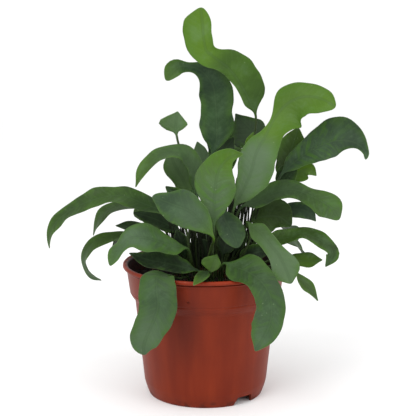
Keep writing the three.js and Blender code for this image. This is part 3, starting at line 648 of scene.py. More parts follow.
# %% Compost finish
def earth(name, dark, light, speck, scale, rough):
    paint = Paint(name)
    where = paint.place()
    lumps = paint.noise(where, scale, 4.0, 0.65)
    paint.base(lumps.step(0.35, 0.75), dark, light)
    specks = paint.noise(where, scale * 2.6, 2.0, 0.5).step(0.66, 0.74)
    paint.coat(specks * 0.5, speck)
    fine = paint.noise(where, scale * 5, 3.0, 0.7)
    return paint.finish(Base_Color=paint.colour, Roughness=rough + 0.15 * fine, Specular_IOR_Level=0.25,
                        Normal=paint.bump(lumps + fine * 0.4, 0.0009, 0.9))


dress(soil, earth("compost", "#0e0a08", "#1f1611", "#4a3526", 320.0, 0.8), "soil", "soil")
dress(crumbs, earth("compost_crumbs", "#0d0907", "#22170f", "#4a3524", 500.0, 0.8), "soil")
dress(fibres, earth("bark_fibre", "#4a3524", "#80644a", "#a48a69", 400.0, 0.75), "soil")
# Near-black stalks, partly real and partly painted shade deep in the clump.
dress(thin_stalks, earth("old_stalk_and_painted_shade", "#151c0c", "#26301a", "#4a3d22", 300.0, 0.6), "rhizome")
print("compost dressed")

# %% [markdown]
# ## Rhizome
#
# This fern has no trunk: the stalks rise from a thick stem that creeps over the compost, covered in
# papery golden-brown scales. Each branch is a tube along a smooth line through a few places on the
# ground. The scales are one small pointed leaf, copied along the tube and laid back over it.

# %% Smooth lines
# Points at t from 0 to 1 on a smooth line through a list of points. The steps depend on how far apart the
# points are, so that the line has no loops where two of them are close.
def smooth_line(points, t):
    points = np.array(points, float)
    ends = np.vstack([2 * points[0] - points[1], points, 2 * points[-1] - points[-2]])
    last = len(points) - 1
    i = np.clip((t * last).astype(int), 0, last - 1)
    w = (t * last - i)[:, None]
    p0, p1, p2, p3 = (ends[i + k] for k in range(4))
    d0, d1, d2 = (np.linalg.norm(b - a, axis=1)[:, None] ** 0.5 for a, b in ((p0, p1), (p1, p2), (p2, p3)))
    m1 = ((p1 - p0) / d0 - (p2 - p0) / (d0 + d1) + (p2 - p1) / d1) * d1
    m2 = ((p2 - p1) / d1 - (p3 - p1) / (d1 + d2) + (p3 - p2) / d2) * d1
    return p1 + w * (m1 + w * (3 * (p2 - p1) - 2 * m1 - m2 + w * (2 * (p1 - p2) + m1 + m2)))


def unit(vectors):
    return vectors / np.maximum(np.linalg.norm(vectors, axis=-1, keepdims=True), 1e-9)


# The same line by its length: a function that gives points and directions at shares of the length, and
# the share at which each of its points lies.
def measured_line(points):
    t = np.linspace(0, 1, 20 * (len(points) - 1) + 1)
    steps = np.linalg.norm(np.diff(smooth_line(points, t), axis=0), axis=1)
    lengths = np.concatenate([[0], np.cumsum(steps)])

    def at(u):
        spot = np.interp(u * lengths[-1], lengths, t)
        before, after = (smooth_line(points, np.clip(spot + step, 0, 1)) for step in (-1e-4, 1e-4))
        return smooth_line(points, spot), unit(after - before)

    return at, lengths[::20] / lengths[-1], lengths[-1]


# %% Rhizome branches
RHIZOME_R = 4.2
RHIZOME_LIFT = 0.4
RHIZOME = [
    [[-24, 6], [-12, 4], [0, 0], [12, -4], [24, -8]],
    [[-6, 3], [-3, 13], [4, 24]],
    [[4, -1], [0, -12], [-6, -21]],
]


def on_ground(places):
    return [(x, y, soil_height(x, y) + RHIZOME_LIFT) for x, y in places]


def branch(places, number):
    at, _, _ = measured_line(on_ground(places))
    u = np.concatenate([[0], (1 - np.cos(np.linspace(0, math.pi, 70))) / 2, [1]])
    middle, ahead = at(u)
    across = unit(np.cross(ahead, [0, 0, 1]))
    up = np.cross(across, ahead)
    end = np.minimum(1, np.sqrt(np.maximum(1 - (2 * u - 1) ** 4, 0)) + 0.25)
    radius = (RHIZOME_R - 0.3 + 0.4 * np.sin(9 * u * len(places))) * end
    radius[[0, -1]] = 0
    turn = np.linspace(0, 2 * math.pi, 41)
    knobs = 1 + 0.06 * np.sin(3 * turn + 14 * u[:, None]) * np.sin(23 * u[:, None] + turn)
    around = (-across[:, None] * np.cos(turn)[:, None] + up[:, None] * np.sin(turn)[:, None])
    places = middle[:, None] + around * (radius[:, None] * knobs)[:, :, None]
    return close(shaped_grid("rhizome_branch_" + str(number), places))


# %% Scales of the rhizome
deselect()
bpy.ops.mesh.primitive_grid_add(x_subdivisions=2, y_subdivisions=3, size=1)
scale = bpy.context.object
for vertex in scale.data.vertices:
    run = vertex.co.y + 0.5
    width = (0.55 + 1.2 * run) * (1 - run) + 0.02
    vertex.co = (vertex.co.x * width, run, 0.18 * run ** 2 - 0.5 * vertex.co.x ** 2)
select_only(scale)
skin = scale.modifiers.new("thickness", "SOLIDIFY")
skin.thickness = 0.05
bpy.ops.object.modifier_apply(modifier="thickness")
spots = []
for places in RHIZOME:
    at, _, length = measured_line(on_ground(places))
    for _ in range(int(length * 7)):
        u = np.array([0.03 + 0.94 * dice.random()])
        middle, ahead = at(u)
        across = unit(np.cross(ahead, [0, 0, 1]))
        up = np.cross(across, ahead)
        lean = math.radians(-80 + 160 * dice.random())
        out = up[0] * math.cos(lean) + across[0] * math.sin(lean)
        heading = math.atan2(ahead[0][1], ahead[0][0]) - math.pi / 2 + 0.7 * (dice.random() - 0.5)
        spot = middle[0] + out * (RHIZOME_R - 0.1)
        size = (2.0 + 1.6 * dice.random()) * MM
        spots.append((tuple(spot * MM), (0.25, lean, heading), (size * 0.8, size, size)))
scales = strew("rhizome_scales", scale, spots)
rhizome = join("rhizome_stem", [branch(places, number) for number, places in enumerate(RHIZOME)])
print("rhizome", len(rhizome.data.polygons), "faces, scales", len(scales.data.polygons))

# %% Rhizome finish
dress(rhizome, earth("rhizome_skin", "#241a11", "#43331f", "#5f4f2e", 380.0, 0.7), "rhizome", "rhizome")
dress(scales, earth("rhizome_scale", "#3e2b18", "#634829", "#8a6c42", 500.0, 0.6), "rhizome")

# %% [markdown]
# ## Fronds
#
# A frond is a wiry stalk that opens into one long, leathery, wavy blade with a strong midrib. It could be
# made by extruding a profile along a curve, but the blade's two halves differ, it twists, and its margin
# ripples. So each frond is one call of a small function that adds it to a list: the line of its stalk and
# midrib, the half widths on the left and the right, the way its upper face looks and its tones. One rule
# then rolls a grid into a closed tube that is round along the stalk and flattens into the blade, which has
# a groove over the midrib, a ridge under it and a thin, waved margin.

# %% List of fronds
# Toward the camera and a little up, for a blade that is given no other turn.
FRONT = [[0, -1, 0.2]]
FRONDS = []


# Places are in millimetres. The foot is where the stalk leaves the compost, and the midrib follows the
# stalk. Half widths and tones run from the base of the blade to its tip: a blade with one list of widths
# is alike on both sides, and a tone that is not given is 0.
def frond(name, tint, foot, stalk, rib, left, right=None, face=FRONT, **tones):
    FRONDS.append({"name": name, "tint": tint, "foot": foot, "stalk": stalk, "rib": rib, "left": left,
                   "right": right or left, "face": face, "tones": tones})


frond("frond_01_crown", "fresh", (10, 8), [[20, 9, 120], [31, 7, 165]],
      [[36, 2, 203], [32, 1, 213], [27, 0, 223], [21, -2, 232], [15, -4, 239], [7, -5, 245], [1, -6, 250],
       [-1, -6, 258], [-2, -4, 268], [-3, -2, 280]],
      [1, 4, 4, 4, 4.5, 5.5, 9, 12, 14, 12.5, 6], [1, 9.5, 15, 14, 15.5, 12.5, 5, 6, 5.5, 5.5, 4],
      fresh=[0, 0.1, 0.2, 0.2, 0.2, 0.8, 1, 1, 1], shade=[0.35, 0.35, 0.2, 0.15, 0.25, 0, 0, 0, 0])
frond("frond_02_tall", "blue", (2, 6), [[3, 9, 130]],
      [[5, 10, 172], [8, 11, 185], [8, 12, 199], [7, 12, 214], [5, 11, 225], [-5, 8, 236], [-19, 3, 238],
       [-28, 0, 229]],
      [1, 8, 12, 10.5, 10.5, 10, 4.5, 3, 5, 3.5], [1, 5, 13, 11, 13, 12.5, 9, 2, 6.5, 4],
      face=[[0, -1, 0.1]], fresh=[0, 0, 0.1, 0.1, 0.1, 0, 0, 0, 0.4, 0.6],
      shade=[0.2, 0.2, 0.15, 0.2, 0.3, 0.2, 0])
frond("frond_03_small", "fresh", (-6, 14), [[-10, 18, 130], [-17, 17, 170]],
      [[-21, 16, 188], [-21.5, 15, 196], [-20, 15, 205]],
      [1, 7, 12, 6, 1.5], [1, 5, 8, 5, 1.5], fresh=[0.2, 0.3, 0.4], bloom=[0.5, 0.8, 0.8])
frond("frond_04_arch", "green", (-6, 0), [[-7, -2, 115]],
      [[-8, -4, 146], [-7, -6, 163], [-15, -10, 177.5], [-30, -16, 178.5], [-43, -20, 167.5],
       [-49, -22, 156]],
      [1, 6, 8, 8, 7.5, 5.5, 3.5, 1.5], [1, 6, 8, 8, 7.5, 7, 5, 1.5],
      face=[[0.5, -0.8, 0.2], [0.1, -0.5, 0.85], [-0.5, -0.5, 0.7]], fresh=[0, 0, 0, 0.1, 0.3, 0.6],
      bloom=[0.3, 0.4, 0.3, 0.2, 0, 0])
# Its bloom is raised as painted light on a frond that lies in shade.
frond("frond_05_inner_left", "fresh", (-10, 8), [[-10, 8, 115]],
      [[-11, 6, 144], [-16, 6, 156], [-22, 6, 167], [-26, 6, 177]],
      [1, 6, 7, 8, 3], [1, 7, 9, 8, 3], fresh=[0.8, 0.8, 0.9], bloom=[0.5, 0.8, 0.9])
# Its bloom is raised as painted light on a frond that lies in shade behind others.
frond("frond_06_behind", "green", (-2, 12), [[0, 20, 130]],
      [[0, 22, 160], [-2, 22, 169], [-4, 22, 175], [-6, 22, 182]],
      [1, 4, 5, 4, 1.5], fresh=[0.5, 0.6], bloom=[1, 1])
frond("frond_07_middle", "green", (4, -14), [[5, -26, 105]],
      [[6, -33, 130], [6, -36, 143], [7, -37, 158], [9, -37, 170], [16, -37, 179], [26, -36, 182]],
      [1, 4.5, 8, 13, 15, 11, 6, 1.5], [1, 6, 10, 14, 13, 9, 3.5, 1.5], face=[[0, -1, 0.1]],
      fresh=[0.1, 0.1, 0.3, 0.6, 0.8, 0.7], bloom=[0.4, 0.6, 0.7, 0.4, 0, 0],
      blotch=[0.3, 0.8, 1, 1, 0.6, 0.2])
frond("frond_08_front_left", "blue", (0, -18), [[1, -23, 100], [4, -31, 115]],
      [[6, -40, 123], [-2, -46, 135], [-10, -50, 144], [-23, -52, 150], [-36, -52, 155]],
      [1, 3.5, 7.5, 12.5, 12, 8.5, 2.5], [1, 4, 8.5, 10, 12, 6.5, 4], face=[[0, -1, 0.3]],
      fresh=[1, 0.5, 0, 0, 0, 0.1], bloom=[0, 0.2, 0.6, 0.5, 0.2, 0.1], shade=[0, 0.1, 0.15, 0.15])
frond("frond_09_creased", "fresh", (12, -10), [[16, -16, 112]],
      [[20, -20, 140], [26, -24, 153], [32, -24, 167], [36, -21, 181], [42, -17, 191], [49, -13, 204],
       [58, -12, 214], [70, -15, 219], [82, -17, 217], [91, -16, 212]],
      [1, 5, 7.5, 10.5, 9, 3, 2.5, 11, 10.5, 8, 4], [1, 7, 13, 16, 14, 12, 18, 19.5, 15, 11.5, 5.5],
      face=[[0, -1, 0.1], [-0.3, -0.9, 0.3], [0, -0.85, 0.5]],
      fresh=[0.2, 0.2, 0.25, 0.2, 0.9, 0.7, 0.6, 0.7, 0.8], bloom=[0.5, 0.9, 1, 1, 0, 0, 0, 0, 0],
      blotch=[0.2, 0.2, 0.3, 0.2, 0.6, 0, 0, 0, 0])
frond("frond_10_behind_crown", "dark", (16, 18), [[30, 24, 135]],
      [[42, 24, 174], [38, 25, 185], [31, 26, 193], [22, 27, 202]],
      [1, 12, 17, 12, 2], [1, 6, 10, 5, 1], bloom=[0.1, 0.3, 0.4, 0.2])
frond("frond_11_in_shade", "dark", (8, 19), [[9, 20, 125]],
      [[7, 18, 160], [10, 18, 170], [15, 18, 178], [21, 17.5, 186]],
      [1, 5, 8, 6, 2], bloom=[0.3, 0.4, 0.2])
frond("frond_12_tip", "fresh", (14, 12), [[26, 15, 140]],
      [[32, 15, 172], [34, 15, 182], [35, 15, 190]],
      [1, 4, 4.5, 1.5], fresh=[0.9, 1])
frond("frond_13_upright", "dark", (22, 12), [[42, 19, 120]],
      [[53, 20, 151], [59, 21, 165], [63, 22, 177], [68, 24, 192]],
      [1, 7, 9, 9, 3], [1, 8, 10, 9, 3], face=[[0.3, -0.9, 0.3]], fresh=[0.2, 0.3, 0.4])
frond("frond_14_right", "blue", (20, 4), [[40, 4, 120]],
      [[54, 2, 160], [65, 1, 171], [77, -2, 180], [89, -5, 185.5], [100, -8, 187], [109, -11, 184],
       [113, -13, 179], [113, -15, 174.5]],
      [1, 4.5, 7, 8.5, 11.5, 15, 18, 11.5, 4, 2], [1, 4, 6, 8.5, 11, 12.5, 8.5, 5, 2.5, 1.5],
      face=[[0, -0.9, 0.45]], bloom=[0.3, 0.2, 0.3, 0.1, 0], blotch=[0.2, 0.3, 1, 1, 1, 0.4, 0, 0],
      shade=[0.2, 0.1, 0, 0.2, 0.4, 0])
frond("frond_15_bright", "fresh", (25, 9), [[46, 12, 118]],
      [[59, 13, 154], [68, 14, 160], [75, 14, 163], [81, 14, 158]],
      [1, 6, 7, 4, 1.5], [1, 6, 8, 5, 1.5], face=[[0, -0.8, 0.6]], fresh=[1, 1, 0.9])
frond("frond_16_long_right", "green", (14, -3), [[19, -6, 112]],
      [[25, -8, 138], [38, -10, 144], [50, -10, 150], [62, -12, 152.5], [71, -14, 150], [80, -17, 146],
       [88, -20, 141.5], [94, -24, 133]],
      [1, 5, 7, 9, 8, 4, 8, 9, 4], [1, 5, 6, 7.5, 8, 7, 10.5, 13.5, 6],
      face=[[0, -0.7, 0.7], [0, -0.7, 0.7], [0.3, -0.8, 0.5]], fresh=[0, 0, 0, 0.2, 0.3],
      bloom=[0.3, 0.3, 0.3, 0.1, 0.2, 0.5], blotch=[0, 0, 0, 0.2, 1, 1],
      shade=[0.1, 0.1, 0.15, 0.2, 0.2, 0.15])
frond("frond_17_low_right", "blue", (24, 0), [[38, 5, 112]],
      [[52, 6, 132], [63, 4, 135], [73, 2, 134], [80, 0, 127]],
      [1, 5, 6, 5, 1.5], [1, 6, 9, 7, 2], face=[[0, -0.6, 0.8]], bloom=[0.2, 0.1, 0.1], shade=[0.3, 0.2, 0])
frond("frond_18_shaded", "dark", (18, -2), [[25, -3, 108]],
      [[31, -2, 126], [42, -3, 131], [53, -4, 131], [62, -6, 125]],
      [1, 9, 12, 10, 4], [1, 9, 12, 9, 4], face=[[0, -0.9, 0.5]], fresh=[0.6, 0.6, 0.4, 0.3],
      shade=[0.6, 0.6, 0.5, 0.4])
frond("frond_19_twisted", "dark", (24, -6), [[29, -8, 104]],
      [[38, -14, 117], [50, -16, 117.5], [60, -18, 119], [69, -20, 122.5], [78, -22, 119.5], [86, -24, 115],
       [90, -25, 109], [85, -26, 99.5]],
      [1, 6, 7, 6, 8, 5.5, 4.5, 1.5], [1, 6, 8, 5, 7, 6, 5, 1.5],
      face=[[0, -0.5, 0.85], [0, -0.5, 0.85], [0.5, -0.6, 0.6]], fresh=[0.2, 0.3, 0.2, 0.1])
frond("frond_20_low_bright", "fresh", (26, -13), [[38, -17, 99]],
      [[55, -18, 104], [64, -20, 103], [74, -22, 102.5], [83, -24, 104]],
      [1, 5, 7, 6, 2], [1, 5, 6, 6, 2], face=[[0, -0.5, 0.85]], fresh=[0.4, 0.9, 0.7],
      shade=[0.5, 0.45, 0.4])
frond("frond_21_hanging", "dark", (24, -20), [[38, -25, 97], [54, -28, 102]],
      [[63, -28, 97], [68, -28, 90], [74, -28, 84], [80, -28, 75]],
      [1, 3.5, 4.5, 2.5, 1], face=[[0.4, -0.7, 0.6]], fresh=[0.5, 0.4, 0.3])
frond("frond_22_light", "fresh", (17, -17), [[27, -22, 108], [32, -27, 124]],
      [[29, -31.5, 133], [33, -35, 130.5], [39, -38, 126], [44, -40, 120], [50, -42, 113], [54, -42, 106],
       [57, -42, 99], [60, -42, 91.5]],
      [2, 6, 5.5, 5.5, 5.5, 9, 9, 3], [2, 7, 7, 6, 7.5, 10.5, 9, 4],
      face=[[0, -0.8, 0.6], [0.3, -0.9, 0.3], [0.2, -1, 0.1]], fresh=[0.1, 0.1, 0.2, 0.4, 0.8],
      bloom=[0, 0.4, 0.9, 1, 0.8], shade=[0.5, 0.3, 0, 0])
frond("frond_23_front_right", "blue", (10, -24), [[10, -32, 98]],
      [[13, -38, 105], [22, -47, 104], [31, -55, 102], [39, -62, 97], [44, -67, 89], [45, -69, 79],
       [43, -70, 68], [39, -70, 60], [34, -69, 51]],
      [1, 11, 12, 10.5, 9, 8.5, 9, 6, 2], [1, 10, 10.5, 9.5, 10, 10.5, 12, 9, 2],
      face=[[0, -0.6, 0.8], [0.1, -0.9, 0.4], [0.1, -1, 0.1]], fresh=[0.3, 0.2, 0.1, 0],
      bloom=[0, 0, 0.1, 0.3, 0.4, 0.4], blotch=[0.4, 0.6, 0.5, 0.3], shade=[0.3, 0.3, 0.25, 0.15, 0.1])
frond("frond_24_centre", "blue", (8, -8), [[8, -16, 118], [7, -21, 138]],
      [[10, -23, 142], [14, -26, 133], [19, -29, 125], [23, -31, 114.5]],
      [2, 6.5, 8, 8, 5], [2, 6.5, 9, 8.5, 5], face=[[0.2, -0.9, 0.4]], bloom=[0, 0, 0.2, 0.5],
      shade=[0.5, 0.4, 0.1])
frond("frond_25_low_dark", "dark", (19, -10), [[21, -12, 92]],
      [[24, -14, 98], [31, -15, 105], [38, -16, 108], [46, -16, 108]],
      [1, 5, 6, 5, 1.5], face=[[-0.2, -0.9, 0.4]])
frond("frond_26_big_left", "green", (-8, -10), [[-11, -18, 108]],
      [[-16, -22, 131], [-28, -24, 138.5], [-42, -24, 144], [-58, -24, 150], [-72, -24, 149],
       [-83, -23, 145.5], [-94, -22, 140], [-103, -21, 133], [-109, -20, 125], [-111, -19, 117],
       [-111, -18, 111]],
      [1, 4, 6.5, 9.5, 9.5, 7.5, 7, 7.5, 6.5, 4, 2], [1, 4, 6.5, 8, 9.5, 8, 8, 6, 5, 4, 1],
      face=[[0, -0.5, 0.87], [0, -0.5, 0.87], [-0.5, -0.6, 0.6], [-0.8, -0.6, 0.3]],
      fresh=[0, 0, 0.1, 0.2, 0.2, 0.1, 0.2, 0.4], blotch=[0, 0.2, 0.5, 0.3, 0],
      shade=[0.3, 0.3, 0.2, 0.1, 0])
frond("frond_27_under_arch", "green", (-16, 6), [[-26, 8, 112]],
      [[-40, 6, 135], [-51, 6, 137], [-62, 6, 136], [-72, 6, 133], [-78, 6, 126], [-82, 6, 115]],
      [1, 5, 6, 6.5, 6, 6, 1], [1, 5, 6, 6.5, 6, 4.5, 1],
      face=[[0, -0.35, 0.94], [0, -0.35, 0.94], [-0.8, -0.4, 0.4]], fresh=[0, 0.2, 0.3],
      shade=[0.5, 0.4, 0.2])
frond("frond_28_olive", "dark", (-12, 1), [[-14, 2, 102]],
      [[-17, 2, 117], [-31, 0, 126], [-42, -2, 131], [-52, -4, 134]],
      [1, 6, 8, 6, 1.5], face=[[0, -0.7, 0.7]])
frond("frond_29_pointed", "green", (-17, -7), [[-24, -10, 104]],
      [[-36, -12, 117], [-50, -14, 125], [-64, -15, 127]],
      [1, 5, 6, 4, 1], face=[[0, -0.6, 0.8]], shade=[0.4, 0.3])
frond("frond_30_broad_left", "blue", (-8, -15), [[-10, -20, 99]],
      [[-12, -29, 113], [-20, -34, 116], [-31, -38, 120], [-42, -42, 124], [-52, -44, 124], [-58, -45, 118],
       [-63, -45, 111], [-66, -45, 105]],
      [1, 6, 9, 9, 10.5, 9, 4, 4, 2.5], [1, 4, 6, 8.5, 10, 10, 4, 5.5, 2.5],
      face=[[0, -0.75, 0.65], [0, -0.75, 0.65], [-0.3, -0.8, 0.5]], fresh=[0.3, 0.3, 0.2, 0, 0.2, 0.5],
      bloom=[0, 0.1, 0.3, 0.7, 0.4, 0.1], blotch=[0.6, 0.6, 0.3, 0.1])
frond("frond_31_curl", "green", (-21, -1), [[-33, 0, 104]],
      [[-47, 0, 113], [-62, -1, 116], [-72, -2, 115], [-81, -3, 111.5], [-86, -4, 106], [-88, -5, 100],
       [-86, -6, 93], [-82, -8, 88.5], [-75, -10, 85.5]],
      [1, 5, 6, 6, 7, 7, 6, 1.5], [1, 5, 4.5, 4.5, 5, 5, 4, 1.5],
      face=[[0, -0.4, 0.9], [-0.7, -0.5, 0.5], [-0.85, -0.5, -0.2], [-0.3, -0.5, -0.8]],
      fresh=[0.2, 0.3, 0.3, 0.1, 0.1], bloom=[0, 0, 0, 0.3, 0.4])
frond("frond_32_over_rim_left", "dark", (2, -22), [[1, -27, 93]],
      [[-4, -29, 97], [-14, -31, 100], [-26, -31, 103], [-40, -28, 105], [-54, -24, 109]],
      [1, 6, 8, 7, 5, 1.5], [1, 7, 9, 8, 5, 1.5], face=[[0, -0.6, 0.8]])
frond("frond_33_centre_young", "green", (6, -22), [[8, -25, 100], [8.5, -28, 107]],
      [[8, -31, 109], [6, -34, 104], [4, -36, 98]],
      [1.5, 4, 4, 1.5], [1.5, 7, 8.5, 2], face=[[0, -1, 0.3]], fresh=[0.3, 0.5])
frond("frond_34_front_drooping", "blue", (-12, -22), [[-18, -30, 92]],
      [[-24, -38, 96], [-30, -47, 99], [-33, -56, 99], [-33, -63, 92], [-32, -66, 82], [-35, -67, 72],
       [-39, -67, 63], [-42, -66, 54], [-42, -65, 47]],
      [1, 6, 10.5, 13, 13, 12, 10.5, 8.5, 3.5], [1, 6, 10, 12, 12, 12, 11, 9.5, 5.5],
      face=[[0, -0.4, 0.9], [0, -0.7, 0.7], [0, -1, 0.2], [-0.1, -1, 0.1]],
      fresh=[0.2, 0.3, 0.1, 0.1, 0.1, 0], bloom=[0.1, 0.1, 0.3, 0.3, 0.7, 0.9, 0.6],
      blotch=[0.6, 0.5, 0.3, 0.3, 0.1], shade=[0.3, 0.3, 0.3, 0.2, 0.1])
frond("frond_35_rim_tip", "dark", (5, -30), [[4, -38, 97]],
      [[2, -46, 101], [-1, -54, 101], [-4, -62, 99.5], [-8, -68, 97]],
      [1, 3.5, 4, 3, 1], face=[[0, -0.6, 0.8]], fresh=[0, 0.2, 0.8])
frond("frond_36_shadow", "dark", (-12, -6), [[-12, -11, 112]],
      [[-12, -14, 135], [-19, -16, 147], [-28, -18, 156]],
      [1, 5, 6, 4, 1.5], face=[[0, -1, 0.3]])
frond("frond_37_inner_dark", "dark", (-16.5, -2), [[-15.5, -4, 94]],
      [[-15, -5, 101], [-16, -6, 108], [-18, -7, 115], [-21, -7, 122]],
      [1, 4, 5, 4, 1.5], face=[[0, -1, 0.3]], shade=[0.6, 0.4, 0.3])
frond("frond_38_inner_low", "dark", (5, 3), [[4, 1, 92]],
      [[3, 0, 97], [1, 0, 103], [0, 0, 108], [-2, 0, 114]],
      [1, 4, 5, 4, 1.5], face=[[0, -1, 0.3]], shade=[0.8, 0.6, 0.6])
frond("frond_39_inner_middle", "dark", (12, -17), [[12, -20, 96]],
      [[12, -21, 106], [14, -22, 113], [16, -22, 120], [18, -22, 127]],
      [1, 5, 6.5, 5, 2], face=[[0, -1, 0.3]], shade=[0.9, 0.8, 0.7])
frond("frond_40_inner_right", "dark", (15, -6), [[18, -8, 98]],
      [[21, -9, 106], [23, -10, 113], [25, -11, 120], [27, -12, 127]],
      [1, 4, 5.5, 5, 2], face=[[0, -1, 0.4]], shade=[0.9, 0.8, 0.7])
frond("frond_41_back", "blue", (-2, 20), [[-4, 34, 118]],
      [[-6, 44, 136], [-9, 56, 146], [-12, 67, 143], [-14, 73, 130]],
      [1, 9, 12, 13, 12, 9, 3], face=[[0, -0.3, 1], [0, 0.5, 0.85], [0, 0.9, 0.3]])
frond("frond_42_back_right", "green", (10, 24), [[20, 38, 112]],
      [[27, 44, 128], [35, 55, 136], [43, 65, 132], [48, 71, 120]],
      [1, 8, 11, 12, 11, 8, 3], face=[[0, -0.3, 1], [0.4, 0.5, 0.8], [0.5, 0.8, 0.4]])
frond("frond_43_back_left", "green", (-12, 18), [[-22, 30, 106]],
      [[-29, 40, 122], [-37, 51, 128], [-45, 61, 124], [-50, 69, 113]],
      [1, 8, 11, 11, 9, 3], face=[[0, -0.3, 1], [-0.4, 0.5, 0.8], [-0.6, 0.7, 0.4]])
frond("frond_44_back_low", "blue", (20, 18), [[32, 28, 102]],
      [[42, 36, 113], [53, 46, 116], [63, 55, 110], [70, 62, 97]],
      [1, 7, 10, 10, 8, 2.5], face=[[0, -0.2, 1], [0.5, 0.4, 0.8], [0.7, 0.6, 0.4]])
frond("frond_45_back_tall", "fresh", (4, 16), [[8, 26, 130]],
      [[10, 32, 150], [13, 41, 166], [16, 52, 174], [18, 63, 169], [18, 71, 157]],
      [1, 8, 11, 12, 11, 8, 3], face=[[0, -0.7, 0.7], [0, 0, 1], [0, 0.7, 0.7]])
frond("frond_46_back_far_left", "dark", (-20, 12), [[-34, 22, 102]],
      [[-42, 30, 110], [-54, 38, 111], [-64, 45, 104], [-71, 50, 93]],
      [1, 7, 9, 9, 7, 2.5], face=[[0, -0.2, 1], [-0.6, 0.3, 0.8], [-0.8, 0.4, 0.4]])
frond("frond_47_back_hanging", "blue", (0, 28), [[2, 40, 100]],
      [[6, 50, 106], [9, 61, 106], [11, 69, 97], [12, 72, 83], [12, 72, 66]],
      [1, 8, 11, 12, 11, 8, 3], face=[[0, 0, 1], [0, 0.6, 0.8], [0, 1, 0.2]])
frond("frond_48_back_side", "green", (30, 13), [[43, 17, 100]],
      [[52, 22, 106], [64, 28, 106], [72, 32, 98], [77, 34, 86]],
      [1, 6, 8, 8, 6, 2], face=[[0, -0.3, 1], [0.7, 0, 0.7], [1, 0.1, 0.2]])
frond("frond_49_back_high", "blue", (12, 16), [[12, 23, 130]],
      [[11, 28, 158], [10, 34, 178], [9, 44, 196], [9, 55, 203], [9, 66, 197]],
      [1, 7, 9.5, 9.5, 8, 3], face=[[0, -0.9, 0.4], [0, -0.3, 0.95], [0, 0.6, 0.8]])
frond("frond_50_deep_right", "dark", (20, 8), [[38, 9, 118]],
      [[52, 8, 149], [57, 8, 157], [62, 8, 163], [67, 8, 168]],
      [1, 5, 7, 5, 1.5], face=[[0, -0.9, 0.4]])
print(len(FRONDS), "fronds in the list")

# %% Rules along a frond
STALK_R = 0.85
FOOT_DEPTH = 6
RIB_THICK = 1.0
BLADE_THICK = 0.5
RIB_SUNK = 0.28
ROUND_TIP = 9
WAVE_LENGTH = 34
AROUND = 36
CUP = 0.18
WAVE = 1.2
SOFT_EDGE = 0.5


# A smooth value at u from 0 to 1 along a list of evenly spaced values.
def along(values, u):
    values = np.array(values, float)
    last = len(values) - 1
    i = np.clip((u * last).astype(int), 0, last - 1)
    t = u * last - i
    a, b, c, d = (values[np.clip(i + k, 0, last)] for k in (-1, 0, 1, 2))
    return b + 0.5 * t * (c - a + t * (2 * a - 5 * b + 4 * c - d + t * (3 * (b - c) + d - a)))


def facing(faces, u):
    if len(faces) == 1:
        return unit(np.array(faces, float)) + 0 * u[:, None]
    return unit(np.stack([along([f[k] for f in faces], u) for k in range(3)], axis=1))


def soft(value, low, high):
    t = np.clip((value - low) / (high - low), 0, 1)
    return t * t * (3 - 2 * t)


# Where the rows of the grid lie: shares of the whole line for the stalk, then for the blade, whose end is
# rounded off like a fingertip.
def frond_rows(blade_from, length):
    stalk = np.linspace(0, blade_from, max(8, round(length * blade_from / 4)), endpoint=False)
    blade = length * (1 - blade_from)
    round_part = min(ROUND_TIP / blade, 0.3)
    even = np.linspace(0, 1 - round_part, round(blade * (1 - round_part) / 1.7))
    bend = np.linspace(0, math.pi / 2, 9)[1:]
    u = np.concatenate([even, 1 - round_part + round_part * np.sin(bend)])
    taper = np.concatenate([np.ones(len(even)), np.cos(bend)])
    share = np.concatenate([[0], stalk, blade_from + (1 - blade_from) * u])
    u = np.concatenate([np.zeros(len(stalk) + 1), u])
    taper = np.concatenate([np.ones(len(stalk) + 1), taper])
    return share, u, taper, len(stalk) + 1


# Where a midrib bends sharply, the rows crowd at the inner margin. Averaging each margin along the blade
# spreads them again; the midrib and both ends stay as they are.
def eased(places, s, start):
    weights = np.exp(-0.5 * (np.arange(-6, 7) / 2.0) ** 2)
    padded = np.pad(places, ((6, 6), (0, 0), (0, 0)), mode="edge")
    mean = sum(w * padded[i:i + len(places)] for i, w in enumerate(weights / weights.sum()))
    row = np.arange(len(places))
    fade = soft(row, start + 2, start + 8) * soft(len(places) - row, 10, 18)
    amount = (fade[:, None] * s ** 2)[:, :, None]
    return places * (1 - amount) + mean * amount


